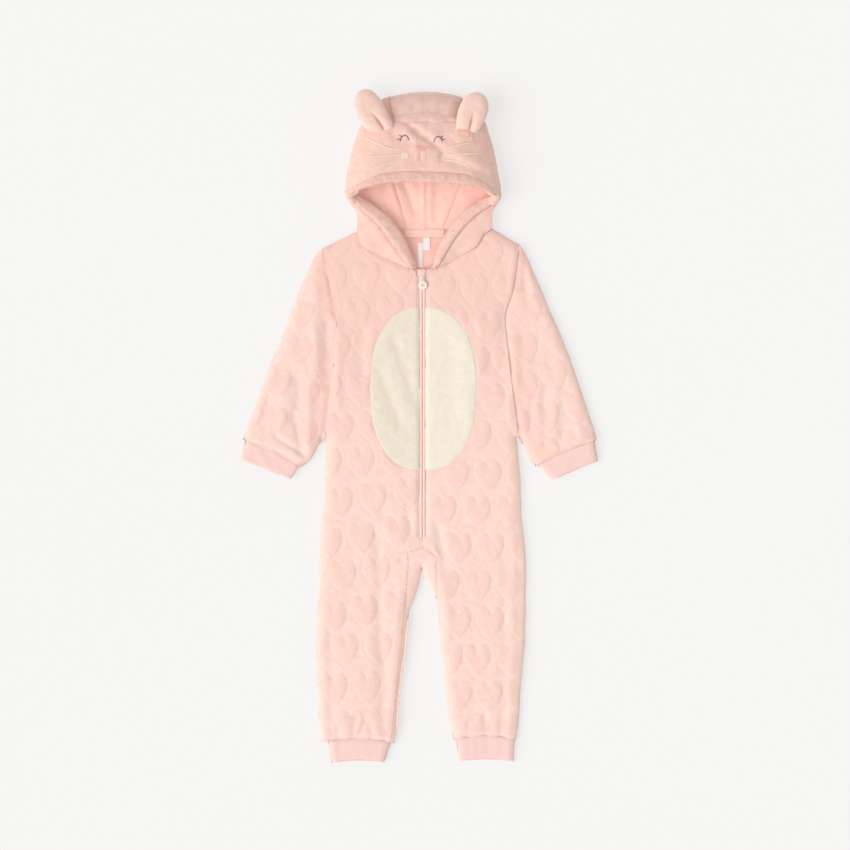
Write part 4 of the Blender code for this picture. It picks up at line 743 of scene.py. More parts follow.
PINK = plush_material("peach plush", (0.93, 0.69, 0.615, 1), (0.895, 0.64, 0.565, 1),
                      heart=(0.895, 0.605, 0.525, 1), top_painted_shade=(0.88, 0.60, 0.525, 1))
PINK_SLEEVE = plush_material("peach plush of the sleeves", (0.93, 0.685, 0.61, 1),
                             (0.895, 0.635, 0.56, 1), heart=(0.905, 0.61, 0.53, 1))
# painted shade: the plush of the hood, its flaps and hems, and the ears are darker copies of the peach plush, as
# that part lies more in shade
PINK_FACE_PAINTED_SHADE = plush_material("peach plush of the hood", (0.865, 0.59, 0.515, 1), (0.82, 0.53, 0.455, 1))
PINK_BRIM_PAINTED_SHADE = plush_material("brushed peach brim", (0.835, 0.58, 0.505, 1), (0.79, 0.52, 0.445, 1), tuft=1.3)
PINK_FLAP_PAINTED_SHADE = plush_material("peach plush below the hem", (0.90, 0.625, 0.545, 1), (0.86, 0.565, 0.49, 1))
PINK_CROWN_PAINTED_SHADE = plush_material("peach plush of the crown", (0.84, 0.585, 0.515, 1), (0.765, 0.495, 0.43, 1))
PINK_HEM_PAINTED_SHADE = plush_material("brushed peach hem", (0.90, 0.645, 0.565, 1), (0.855, 0.58, 0.50, 1), tuft=1.3)
# painted light: the inside plush glows a little, so the inside of the hood and of the back stays bright
PINK_INSIDE_PAINTED_GLOW = plush_material("plush inside the hood", (0.92, 0.60, 0.52, 1), (0.88, 0.55, 0.47, 1),
                             painted_glow=0.12)
PETAL = plush_material("pale petal plush", (0.90, 0.65, 0.57, 1), (0.87, 0.61, 0.53, 1))
PEACH = plush_material("peach centre plush", (0.93, 0.60, 0.48, 1), (0.91, 0.55, 0.43, 1))
# painted light: the fibre tips of the brim, the hems and the flower glow a little
BRIM_TIPS = tips_material("brushed tips of the brim", (0.94, 0.70, 0.62, 1), (0.89, 0.63, 0.55, 1), 0.2)
HEM_TIPS = tips_material("brushed tips of the hems", (0.96, 0.72, 0.64, 1), (0.91, 0.65, 0.57, 1), 0.20)
PETAL_TIPS = tips_material("tips of the petals", (0.97, 0.78, 0.70, 1), (0.94, 0.73, 0.65, 1), 0.22)
PEACH_TIPS = tips_material("tips of the flower's centre", (0.97, 0.66, 0.54, 1), (0.94, 0.61, 0.49, 1), 0.2)
CREAM = plush_material("cream plush", (0.88, 0.79, 0.67, 1), (0.85, 0.755, 0.635, 1), sheen=0.3, tuft=0.8)
# painted shade: a darker copy of the cream plush for the left belly patch
CREAM_PAINTED_SHADE = plush_material("cream plush brushed down", (0.84, 0.74, 0.62, 1), (0.80, 0.70, 0.585, 1),
                              sheen=0.3, tuft=0.8)
TAPE_LOOK = woven_material("zip tape weave", (0.93, 0.64, 0.55, 1), (0.86, 0.55, 0.46, 1))
TAPE_FOLD_LOOK = woven_material("zip tape folds", (0.96, 0.70, 0.61, 1), (0.92, 0.64, 0.55, 1), 700.0)
# painted light: the labels glow a little, so they stay white in the shade of the hems
LABEL_LOOK = woven_material("white label satin", (0.90, 0.845, 0.83, 1), (0.83, 0.77, 0.755, 1), 700.0, 0.5,
                            painted_glow=0.08)
COIL_LOOK = thread_material("zip coil", (0.92, 0.64, 0.57, 1), (0.84, 0.52, 0.45, 1), 0.45)
SEWING = thread_material("peach sewing thread", (0.92, 0.66, 0.58, 1), (0.86, 0.57, 0.49, 1))
CREAM_THREAD = thread_material("cream thread", (0.90, 0.73, 0.55, 1), (0.86, 0.67, 0.49, 1))
MOUTH_THREAD = thread_material("pale pink thread", (0.93, 0.62, 0.54, 1), (0.88, 0.56, 0.49, 1))
EYE_THREAD = thread_material("grey brown thread", (0.045, 0.035, 0.035, 1), (0.10, 0.08, 0.08, 1))
NOSE_THREAD = thread_material("pink satin thread", (0.88, 0.47, 0.43, 1), (0.83, 0.41, 0.38, 1), 0.35)
CHEEK_LEFT = thread_material("pale cheek thread", (0.90, 0.83, 0.68, 1), (0.84, 0.76, 0.61, 1))
CHEEK_RIGHT = thread_material("beige cheek thread", (0.78, 0.64, 0.48, 1), (0.70, 0.56, 0.42, 1))
SLIDER_LOOK = moulded_material("painted zip slider", (0.92, 0.74, 0.68, 1), (0.86, 0.66, 0.59, 1), 0.35)
RUBBER_LOOK = moulded_material("cream moulded pull", (0.88, 0.85, 0.72, 1), (0.82, 0.78, 0.64, 1), 0.45)
CENTRE_LOOK = moulded_material("pink pull centre", (0.90, 0.55, 0.48, 1), (0.84, 0.47, 0.41, 1), 0.45)


# ---------------------------------------------------------------- Geometry Nodes trees

def new_tree(name, inputs):
    """A modifier tree with named inputs; returns the tree and its input node's sockets."""
    tree = bpy.data.node_groups.new(name, "GeometryNodeTree")
    tree.is_modifier = True
    tree.interface.new_socket("Geometry", in_out="INPUT", socket_type="NodeSocketGeometry")
    for label, kind, value in inputs:
        socket = tree.interface.new_socket(label, in_out="INPUT", socket_type=f"NodeSocket{kind}")
        if value is not None:
            socket.default_value = value
    tree.interface.new_socket("Geometry", in_out="OUTPUT", socket_type="NodeSocketGeometry")
    return tree, tree.nodes.new("NodeGroupInput").outputs


def end_tree(tree, geometry, material):
    """Realize the instances, give them their material and end the tree."""
    real = add_node(tree, "GeometryNodeRealizeInstances", {"Geometry": geometry}).outputs[0]
    real = add_node(tree, "GeometryNodeSetMaterial", {"Geometry": real, "Material": material}).outputs[0]
    out = tree.nodes.new("NodeGroupOutput")
    tree.links.new(real, out.inputs[0])


def grown(name, base_mesh, tree, material, **values):
    """The plain mesh that a tree makes of a base mesh, as a piece."""
    carrier = bpy.data.objects.new(name, base_mesh)
    bpy.context.scene.collection.objects.link(carrier)
    modifier = carrier.modifiers.new("grow", "NODES")
    modifier.node_group = tree
    values["Material"] = material
    for item in tree.interface.items_tree:
        if item.item_type == "SOCKET" and item.in_out == "INPUT" and item.name in values:
            modifier[item.identifier] = values[item.name]
    return mesh_object(name, evaluated_mesh(carrier), material)


def stitch_tree():
    """Stitches along lines on a cloth: each lies on the cloth and may be turned or slanted."""
    tree, given = new_tree("stitches on cloth", [
        ("Cloth", "Object", None), ("Pitch", "Float", 0.002), ("Length", "Float", 0.0015),
        ("Thickness", "Float", 0.0005), ("Turn", "Float", 0.0), ("Zigzag", "Float", 0.0),
        ("Lift", "Float", 0.0), ("Material", "Material", None)])
    line = add_node(tree, "GeometryNodeMeshToCurve", {"Mesh": given["Geometry"]}).outputs[0]
    dots = add_node(tree, "GeometryNodeCurveToPoints", {"Curve": line, "Length": given["Pitch"]},
                    mode="LENGTH")
    cloth = add_node(tree, "GeometryNodeObjectInfo", {"Object": given["Cloth"]}).outputs["Geometry"]
    nearest = add_node(tree, "GeometryNodeProximity", {0: cloth}, target_element="FACES")
    normal = add_node(tree, "GeometryNodeInputNormal").outputs[0]
    facing = add_node(tree, "GeometryNodeSampleNearestSurface", {"Mesh": cloth},
                      data_type="FLOAT_VECTOR")
    tree.links.new(normal, next(s for s in facing.inputs if s.name == "Value" and s.enabled))
    facing = next(s for s in facing.outputs if s.name == "Value" and s.enabled)
    steady = add_node(tree, "ShaderNodeVectorMath", {0: facing, 1: (0, 0, 0.8)}).outputs[0]
    steady = add_node(tree, "ShaderNodeVectorMath", {0: steady}, operation="NORMALIZE").outputs[0]
    lifted = add_node(tree, "ShaderNodeVectorMath", {0: steady, "Scale": given["Lift"]},
                      operation="SCALE").outputs[0]
    place = add_node(tree, "ShaderNodeVectorMath", {0: nearest.outputs["Position"], 1: lifted}).outputs[0]
    turn = add_node(tree, "FunctionNodeAxesToRotation", {0: steady, 1: dots.outputs["Tangent"]},
                    primary_axis="Z", secondary_axis="X").outputs[0]
    parity = add_node(tree, "ShaderNodeMath", {0: add_node(tree, "GeometryNodeInputIndex").outputs[0],
                                               1: 2.0}, operation="MODULO").outputs[0]
    sway = add_node(tree, "ShaderNodeMath", {0: parity, 1: given["Zigzag"], 2: given["Turn"]},
                    operation="MULTIPLY_ADD").outputs[0]
    spin = add_node(tree, "FunctionNodeAxisAngleToRotation", {"Axis": (0, 0, 1), "Angle": sway}).outputs[0]
    turn = add_node(tree, "FunctionNodeRotateRotation", {0: turn, 1: spin},
                    rotation_space="LOCAL").outputs[0]
    stitch = add_node(tree, "GeometryNodeMeshUVSphere", {"Segments": 6, "Rings": 5, "Radius": 0.5}).outputs[0]
    size = add_node(tree, "ShaderNodeCombineXYZ", {0: given["Length"], 1: given["Thickness"],
                                                   2: given["Thickness"]}).outputs[0]
    moved = add_node(tree, "GeometryNodeSetPosition", {"Geometry": dots.outputs["Points"],
                                                       "Position": place}).outputs[0]
    sewn = add_node(tree, "GeometryNodeInstanceOnPoints", {"Points": moved, "Instance": stitch,
                                                           "Rotation": turn, "Scale": size}).outputs[0]
    end_tree(tree, sewn, given["Material"])
    return tree


def pile_tree():
    """Short fibres that stand on a plush surface and lean the way it was combed."""
    tree, given = new_tree("standing pile", [
        ("Density", "Float", 500000.0), ("Length", "Float", 0.002), ("Thickness", "Float", 0.0003),
        ("Comb", "Vector", (0.0, -0.5, 0.0)), ("Seed", "Int", 1), ("Material", "Material", None)])
    share = add_node(tree, "GeometryNodeInputNamedAttribute", {"Name": "pile"}, data_type="FLOAT").outputs[0]
    density = add_node(tree, "ShaderNodeMath", {0: share, 1: given["Density"]},
                       operation="MULTIPLY").outputs[0]
    roots = add_node(tree, "GeometryNodeDistributePointsOnFaces",
                     {"Mesh": given["Geometry"], "Density": density, "Seed": given["Seed"]})
    toss = add_node(tree, "FunctionNodeRandomValue", {0: (-0.45, -0.45, -0.2), 1: (0.45, 0.45, 0.2),
                                                      "Seed": given["Seed"]}, data_type="FLOAT_VECTOR").outputs[0]
    lean = add_node(tree, "ShaderNodeVectorMath", {0: roots.outputs["Normal"], 1: given["Comb"]}).outputs[0]
    lean = add_node(tree, "ShaderNodeVectorMath", {0: lean, 1: toss}).outputs[0]
    turn = add_node(tree, "FunctionNodeAlignRotationToVector", {"Vector": lean}, axis="Z").outputs[0]
    reach = add_node(tree, "FunctionNodeRandomValue", {2: 0.6, 3: 1.15, "Seed": given["Seed"]}).outputs[1]
    size = add_node(tree, "ShaderNodeMath", {0: reach, 1: given["Length"]}, operation="MULTIPLY").outputs[0]
    slim = add_node(tree, "ShaderNodeMath", {0: given["Thickness"], 1: given["Length"]},
                    operation="DIVIDE").outputs[0]
    fibre = add_node(tree, "GeometryNodeMeshCone", {"Vertices": 3, "Side Segments": 1, "Fill Segments": 1,
                                                    "Radius Top": 0.0, "Radius Bottom": slim,
                                                    "Depth": 1.0}).outputs["Mesh"]
    pile = add_node(tree, "GeometryNodeInstanceOnPoints", {"Points": roots.outputs["Points"],
                                                           "Instance": fibre, "Rotation": turn,
                                                           "Scale": size}).outputs[0]
    end_tree(tree, pile, given["Material"])
    return tree


STITCHES = stitch_tree()
PILE = pile_tree()
PILE_THICK = 0.2


def line_mesh(name, lines):
    """Polylines in pattern millimetres as a mesh of edges."""
    verts, edges = [], []
    for line in lines:
        first = len(verts)
        verts += [tuple(p) for p in to_frame(line)]
        edges += [(first + i, first + i + 1) for i in range(len(line) - 1)]
    mesh = bpy.data.meshes.new(name)
    mesh.from_pydata(verts, edges, [])
    return mesh


def sew(name, lines, cloth, thread, pitch, length, thickness, turn=0.0, zigzag=0.0, lift=0.1):
    """Stitches along lines on a cloth; sizes in millimetres, angles in degrees."""
    piece = grown(name, line_mesh(name, lines), STITCHES, thread, Cloth=cloth, Pitch=pitch * MM,
                  Length=length * MM, Thickness=thickness * MM, Turn=math.radians(turn),
                  Zigzag=math.radians(zigzag), Lift=lift * MM)
    finish(piece)
    return piece


def brushed(piece, density, length, comb, look, seed):
    """The pile that stands on a piece; density is in fibres on a square centimetre."""
    name = piece.name.replace("_plush", "_pile")
    return finish(grown(name, piece.data.copy(), PILE, look, Density=density * 1e4, Length=length * MM,
                        Thickness=PILE_THICK * MM, Comb=comb, Seed=seed))


def finish(piece, *nodes, body=GARMENT):
    """The piece stands for these solids and moves with their body."""
    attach(piece, body)
    if nodes:
        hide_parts(*nodes)
    return piece


# ---------------------------------------------------------------- body

SEWN = ["front_left", "front_right", "crotch_gusset", "sleeve_left", "sleeve_right",
        "wrist_cuff_left", "wrist_cuff_right", "ankle_cuff_left", "ankle_cuff_right",
        "hood_side_left", "hood_side_right", "hood_centre", "hood_temple_left",
        "hood_temple_right", "hood_face", "brim_hem", "hood_hem_left", "hood_hem_right",
        "hood_flap_left", "hood_flap_right"]


@functools.lru_cache
def rim_of(node, side=1):
    return cad_rim(node, side)


def split_rim(rim, limit):
    """The rim's segments along low edges, and the others."""
    low = [(a, b) for a, b in pairs(rim, close=True) if a[2] < limit and b[2] < limit]
    rest = [(a, b) for a, b in pairs(rim, close=True) if not (a[2] < limit and b[2] < limit)]
    return low, rest


def apart_from(edges, neighbour, reach=7.0):
    """The edges that don't lie along another piece."""
    other = pairs(rim_of(neighbour), close=True)
    return [(a, b) for a, b in edges if distance([(a + b) / 2], other)[0] > reach]


def meets(rim, neighbour, reach=3.0):
    """The parts of a rim that lie along another piece."""
    other = pairs(rim_of(neighbour), close=True)
    return [(a, b) for a, b in pairs(rim, close=True) if distance([(a + b) / 2], other)[0] < reach]


def seam_drop(points, rim, seams):
    """How far each seam pulls the cloth down; seams is {neighbour: (depth, reach)}."""
    drop = np.zeros(len(points))
    for neighbour, (depth, reach) in seams.items():
        part = meets(rim, neighbour)
        if part:
            drop = np.maximum(drop, depth * np.exp(-(distance(points, part) / reach) ** 2))
    return drop


def seam_reach(node, least=0.35, most=2.8, within=5.0):
    """How far each point of a piece's rim goes out, so that sewn pieces overlap a little.

    Free edges sway a little in and out.
    """
    rim = rim_of(node)
    free = least + SIDE_SWAY * clumps(rim, 16.0, 9)
    nearest = np.full(len(rim), 99.0)
    for other in SEWN:
        if other != node:
            edge = pairs(rim_of(other), close=True)
            joined = distance(rim, edge, axes=3) < 8
            nearest = np.where(joined, np.minimum(nearest, distance(rim, edge)), nearest)
    return np.where(nearest < within, np.minimum(0.6 * nearest + least, most), free)


def rim_height(points, rim, heights):
    """Heights carried smoothly inwards from those along a rim."""
    line = smooth_line([*np.c_[rim[:, :2], heights], (*rim[0, :2], heights[0])], 2.5)
    gaps = np.linalg.norm(points[:, None, :2] - line[None, :, :2], axis=2) + 0.6
    weights = gaps ** -3
    return (weights * line[:, 2]).sum(axis=1) / weights.sum(axis=1)


def flat_points(points):
    return np.c_[points[:, :2], np.zeros(len(points))]


def front_height(points, node, side_edges):
    """Height of a front without its hearts."""
    to_side = distance(points, side_edges)
    fade = np.clip(to_side / SIDE_REACH, 0, 1)
    rise = SIDE_HIGH + (FRONT_HIGH - SIDE_HIGH) * quarter(to_side / SIDE_REACH)
    waves = fold_height(points, FOLDS, 1.15, 0.9) + plush_noise(flat_points(points))
    return rise + waves * fade, fade


FRONT_SEAMS = {
    "front_left": {"sleeve_left": (0.6, 4.5), "crotch_gusset": (0.2, 2.2), "front_right": (0.1, 2.0),
                   "hood_flap_left": (0.9, 3.5), "ankle_cuff_left": (1.4, 3.5)},
    "front_right": {"sleeve_right": (0.6, 4.5), "crotch_gusset": (0.2, 2.2), "front_left": (0.1, 2.0),
                    "hood_flap_right": (0.9, 3.5), "ankle_cuff_right": (1.4, 3.5)},
    "crotch_gusset": {"front_left": (0.2, 2.2), "front_right": (0.2, 2.2)},
}
CROTCH_POINT = (-1.0, -5.0)     # where the inside legs meet; the pink is painted deeper there as shade


def dress_front(node, centres=(), tilt=0.0, patch=None, spacing=1.5):
    rim = rim_of(node)
    side_edges, raised = split_rim(rim, 6.0)
    if node in ("front_left", "front_right"):
        side_edges = apart_from(side_edges, node.replace("front", "sleeve"))
        side_edges = side_edges + split_rim(rim_of("crotch_gusset"), 6.0)[0]
    side = -1 if node == "front_left" else 1
    sewn = [(a, b) for a, b in raised if max(abs(a[0]), abs(b[0])) > 8 or max(a[1], b[1]) < 10]
    zip_edge = [(a, b) for a, b in raised if max(abs(a[0]), abs(b[0])) < 8 and min(a[1], b[1]) > 36]

    def height(points):
        base, fade = front_height(points, node, side_edges)
        drop = seam_drop(points, rim, FRONT_SEAMS[node])
        if zip_edge:
            drop = np.maximum(drop, 1.9 * np.exp(-(distance(points, zip_edge) / 3.2) ** 2))
            drop += 0.5 * smooth_step(-side * points[:, 0] / 1.3) * (points[:, 1] < 38)
        rise, _, tone = heart_field(points, centres, tilt)
        to_seam = distance(points, raised)
        near_seam = smooth_step(to_seam / 4) * fade
        if patch is not None:
            to_patch = distance(points, pairs(patch, close=True))
            covered = inside(points, patch)
            rise = np.where(covered, -1.8 * smooth_step((to_patch - 1.2) / 2.5), rise * smooth_step(to_patch / 3.5))
        # the seam mark: painted shade along the sewn seams and where the inside legs meet
        mark = 0.5 * np.exp(-distance(points, sewn) / 1.3)
        if node == "crotch_gusset":
            mark += np.exp(-(np.linalg.norm(points - CROTCH_POINT, axis=1) / 2.6) ** 2)
        return base - drop * fade + rise * near_seam, tone * near_seam, mark

    amounts = seam_reach(node)
    if zip_edge:
        below_zip = (np.abs(rim[:, 0]) < 1) & (rim[:, 1] > 20) & (rim[:, 1] < 38)
        amounts = np.where(below_zip, 1.5, amounts)
    bm = cad_copy(node)
    swell(bm, rim, amounts)
    relay(bm, 1, spacing, height, coarse=patch)
    return finish(as_object(f"{node}_plush", bm, PINK), node)


def patch_growth(rim):
    """How far a patch's rim goes out: little at the zip, more along its curve."""
    return np.where(np.abs(rim[:, 0]) < 8, 0.4, 1.6)


def patch_outline(node):
    rim = rim_of(node)
    return np.c_[rim[:, :2] + outward(rim, patch_growth(rim)), rim[:, 2]]


def dress_belly(node, look):
    rim = rim_of(node)
    front = "front_left" if node.endswith("left") else "front_right"
    side_edges, _ = split_rim(rim_of(front), 6.0)
    outline = patch_outline(node)
    zip_edge = [(a, b) for a, b in pairs(outline, close=True) if max(abs(a[0]), abs(b[0])) < 8]
    curved = [(a, b) for a, b in pairs(outline, close=True) if max(abs(a[0]), abs(b[0])) >= 8]

    def height(points):
        base, _ = front_height(points, front, side_edges)
        base = base + 0.7 * fold_height(points, FOLDS, 1.0, 1.0)
        to_edge = distance(points, curved)
        drop = 1.5 * np.exp(-(distance(points, zip_edge) / 3.2) ** 2)
        return (base - 0.8 + 1.1 * smooth_step(to_edge / 1.8) + 0.5 * smooth_step(to_edge / 9.0) - drop,
                np.zeros(len(points)), np.zeros(len(points)))

    def under(points):
        return height(points)[0] - 1.6, np.zeros(len(points)), np.zeros(len(points))

    bm = cad_copy(node)
    swell(bm, rim, patch_growth(rim))
    relay(bm, 1, 1.6, height)
    relay(bm, -1, 2.4, under, laid=True)
    return finish(as_object(f"{node}_plush", bm, look), node)


def dress_back():
    """The back panel: plain inside, hearts on its outer side, flat where it rests."""
    rim = rim_of("back_panel", -1)
    centres = lattice((0, 420), (43.2, 0), (0, -49.8), 0.5, range(14), range(-4, 5))
    edge = pairs(rim, close=True)

    def height(points):
        gap = distance(points, edge)
        _, within, tone = heart_field(points, centres, 0.0)
        press = (1 - within) * smooth_step(gap / 6) * 0.7
        return 1.8 * (1 - quarter(gap / 5.0)) + press, tone, np.zeros(len(points))

    bm = cad_copy("back_panel")
    relay(bm, -1, 2.2, height)
    piece = as_object("back_panel_plush", bm, PINK)
    # the inside faces take the glowing inside plush: painted light
    piece.data.materials.append(PINK_INSIDE_PAINTED_GLOW)
    for face in piece.data.polygons:
        face.material_index = int(face.normal.z > 0.7)
    return finish(piece, "back_panel")


def dress_sleeve(side, centres, tilt):
    node = f"sleeve_{side}"
    rim = rim_of(node)
    folds, ends = split_rim(rim, 5.2)
    outer = apart_from(folds, f"front_{side}")
    beside = meets(rim, f"front_{side}", 8.0)
    seams = {f"wrist_cuff_{side}": (1.4, 3.5)}

    def height(points):
        to_fold = distance(points, outer)
        fade = np.clip(to_fold / 13, 0, 1)
        rise = 4.8 + 5.2 * quarter(to_fold / 13)
        to_body = distance(points, beside)
        rise -= 1.2 * np.exp(-(to_body / 4.5) ** 2)
        waves = fold_height(points, FOLDS, 1.3, 0.9) + plush_noise(flat_points(points))
        hearts, _, tone = heart_field(points, centres, tilt, SLEEVE_HEARTS)
        to_seam = distance(points, ends)
        near_seam = smooth_step(to_seam / 4) * smooth_step(to_fold / 9)
        # painted shade in the seam mark: deeper pink beside the body and along the cuff seam
        body_shade = 0.30 * np.exp(-(to_body / 24.0) ** 2)
        return (rise + (waves - seam_drop(points, rim, seams)) * fade + hearts * near_seam,
                SLEEVE_TONE * tone * near_seam, body_shade + 0.3 * np.exp(-to_seam / 0.8))

    def under(points):
        none = np.zeros(len(points))
        return 4.8 * (1 - quarter(distance(points, folds) / 6.0)), none, none

    bm = cad_copy(node)
    swell(bm, rim, seam_reach(node, most=4.0, within=8.0))
    relay(bm, 1, 1.5, height)
    relay(bm, -1, 4.0, under)
    return finish(as_object(f"{node}_plush", bm, PINK_SLEEVE), node)


def dress_cuff(node, angle):
    rim = rim_of(node)
    folds, ends = split_rim(rim, 5.2)
    along = np.array((math.sin(math.radians(angle)), math.cos(math.radians(angle))))
    across = np.array((along[1], -along[0]))

    def height(points):
        to_fold = distance(points, folds)
        rise = 4.8 + 3.8 * quarter(to_fold / 9)
        edge = quarter(distance(points, ends) / 3.0)
        rib = 0.03 * np.sin(points @ across * 2 * math.pi / 1.8)
        soft = 0.6 * clumps(np.c_[points @ across, points @ along * 0.3, np.zeros(len(points))], 11, 5)
        return (rise - 1.1 * (1 - edge) + (rib + soft) * edge * quarter(to_fold / 4),
                np.zeros(len(points)), np.zeros(len(points)))

    bm = cad_copy(node)
    swell(bm, rim, seam_reach(node))
    relay(bm, 1, 0.8, height)
    look = knit_material(f"pink knit {node}", (0.905, 0.64, 0.59, 1), (0.875, 0.60, 0.55, 1), -angle)
    return finish(as_object(f"{node}_knit", bm, look), node)


# ---------------------------------------------------------------- hood

CORNER_ROLLS = [        # path and half thickness
    ([(-85, 507.6, 28.5), (-93, 504.2, 24.5), (-98.2, 499.5, 19.0), (-95.2, 493.6, 15.5), (-88, 488.3, 13.5)], 6.0),
    ([(86, 507.4, 28.0), (94, 504.6, 24.0), (99.2, 499.8, 19.0), (97.2, 493.6, 15.5), (90, 488.3, 13.5)], 7.0),
]
HOOD_LOW = 10.6         # outer side of the hood's top at its side folds
HOOD_REACH = 50.0
HOOD_RISE = [(525, 42.5), (560, 37.5), (595, 31.5), (612, 27.0), (626, 20.0), (638, 11.5)]


@functools.lru_cache
def hood_side_edges():
    """Where the top of the hood meets its back."""
    edges = []
    for node in ("hood_face", "hood_temple_left", "hood_temple_right"):
        edges += split_rim(rim_of(node), 14.0)[0]
    return edges


def hood_height(points):
    points = np.asarray(points, float)
    ys, zs = zip(*HOOD_RISE)
    full = np.mean([np.interp(points[:, 1] + shift, ys, zs) for shift in range(-12, 13, 3)], axis=0)
    low = np.minimum(HOOD_LOW, full)
    return low + (full - low) * quarter(distance(points, hood_side_edges()) / HOOD_REACH)


def face_folds(points):
    return fold_height(points, FACE_FOLDS, 1.2, 0.95)


HOOD_SEAMS = {
    "hood_face": {"hood_centre": (0.6, 2.2), "hood_temple_left": (0.6, 2.2),
                  "hood_temple_right": (0.6, 2.2), "brim_hem": (0.5, 2.0)},
    "hood_temple_left": {"hood_face": (0.6, 2.2), "hood_centre": (0.6, 2.2)},
    "hood_temple_right": {"hood_face": (0.6, 2.2), "hood_centre": (0.6, 2.2)},
    "hood_centre": {"hood_face": (0.6, 2.2), "hood_temple_left": (0.6, 2.2),
                    "hood_temple_right": (0.6, 2.2)},
}


def dress_hood_top(node):
    rim = rim_of(node)

    def height(points):
        waves = face_folds(points) + plush_noise(flat_points(points))
        fade = np.clip(distance(points, hood_side_edges()) / 12, 0, 1)
        return (hood_height(points) + waves * fade - seam_drop(points, rim, HOOD_SEAMS[node]),
                np.zeros(len(points)), np.zeros(len(points)))

    bm = cad_copy(node)
    swell(bm, rim, seam_reach(node))
    relay(bm, 1, 1.2, height)
    return finish(as_object(f"{node}_plush", bm, PINK_FACE_PAINTED_SHADE), node)


def rolled_corner(bm, path, thick):
    """A soft roll of plush where the brim turns into the hem."""
    line = smooth_line(path, 1.0)
    along = np.gradient(line, axis=0)
    along /= np.linalg.norm(along, axis=1)[:, None]
    aside = np.cross(along, (0, 0, 1.0))
    aside /= np.linalg.norm(aside, axis=1)[:, None]
    upward = np.cross(aside, along)
    rings = []
    for i, (centre, side, up) in enumerate(zip(line, aside, upward)):
        radius = thick * (0.25 + 0.75 * quarter(min(i, len(line) - 1 - i) / 7))
        ring = []
        for k in range(18):
            turn = math.radians(20 * k)
            spoke = side * math.cos(turn) + up * math.sin(turn)
            point = centre + spoke * radius
            point = point + spoke * (0.9 * noise.noise(Vector(point) / 6) + 0.35 * noise.noise(Vector(point) / 2.5))
            ring.append(bm.verts.new(point))
        rings.append(ring)
    for one, two in zip(rings, rings[1:]):
        for k in range(18):
            bm.faces.new((one[k], one[k - 1], two[k - 1], two[k]))
    bm.faces.new(rings[0])
    bm.faces.new(rings[-1][::-1])


def dress_brim():
    rim = rim_of("brim_hem")
    seam = meets(rim, "hood_face")
    free = [part for part in pairs(rim, close=True)
            if distance([(part[0] + part[1]) / 2], seam)[0] > 0.1]

    def height(points):
        rolled = 3.6 * (1 - quarter(distance(points, free) / 5.0)) * smooth_step(distance(points, seam) / 10)
        bumps = 1.5 * plush_noise(flat_points(points)) + 0.5 * clumps(flat_points(points), 5.0, 8)
        drop = 0.4 * np.exp(-(distance(points, seam) / 2.0) ** 2)
        return (hood_height(points) + 0.6 + bumps + face_folds(points) - rolled - drop,
                np.zeros(len(points)), np.zeros(len(points)))

    bm = cad_copy("brim_hem")
    swell(bm, rim, seam_reach("brim_hem", 0.5, 3.2))
    relay(bm, 1, 1.0, height)
    for path, thick in CORNER_ROLLS:
        rolled_corner(bm, path, thick)
    return finish(as_object("brim_hem_plush", bm, PINK_BRIM_PAINTED_SHADE), "brim_hem")


def dress_hood_side(node):
    rim = rim_of(node)
    low, raised = split_rim(rim, 3.5)

    def height(points):
        gap = distance(points, raised)
        base = 3.0 + 5.3 * (1 - quarter((gap - 2.0) / 4.0))
        fade = np.clip((gap - 6) / 10, 0, 1) * np.clip(distance(points, low) / 3, 0.2, 1)
        waves = fold_height(points, HOOD_FOLDS) + plush_noise(flat_points(points), 1.4)
        to_seam = distance(points, low)
        drop = 0.6 * np.exp(-(to_seam / 2.4) ** 2)
        # the seam mark is painted shade along the low seams
        return base + waves * fade - drop * (gap > 6), np.zeros(len(points)), 0.4 * np.exp(-to_seam / 1.2)

    bm = cad_copy(node)
    beside = distance(rim, low) < 0.1
    swell(bm, rim, np.where(beside, 0.9, 0.3))
    relay(bm, 1, 1.8, height)
    return finish(as_object(f"{node}_plush", bm, PINK_INSIDE_PAINTED_GLOW), node)


def dress_hood_front(node, hem, front):
    """The hood's front part below the hem, down to the zip."""
    rim = rim_of(node)
    hem_rim = rim_of(hem)
    beside_hem = meets(rim, hem)
    heights = np.maximum(rim[:, 2] + 0.3, 9.4)
    near = distance(rim, pairs(hem_rim, close=True)) < 3
    nearest = np.linalg.norm(rim[:, None, :2] - hem_rim[None, :, :2], axis=2).argmin(axis=1)
    heights = np.where(near, np.maximum(heights, hem_rim[nearest, 2] - 0.2), heights)
    beside_front = meets(rim, front)

    def height(points):
        gap = distance(points, pairs(rim, close=True))
        drop = 0.9 * np.exp(-distance(points, beside_hem + beside_front) / 2.0)
        return (rim_height(points, rim, heights) + 1.3 * quarter(gap / 9.0) - drop
                + plush_noise(flat_points(points), 1.2), np.zeros(len(points)), np.zeros(len(points)))

    bm = cad_copy(node)
    swell(bm, rim, seam_reach(node, 0.5, 3.0))
    relay(bm, 1, 1.3, height)
    return finish(as_object(f"{node}_plush", bm, PINK_FLAP_PAINTED_SHADE), node)


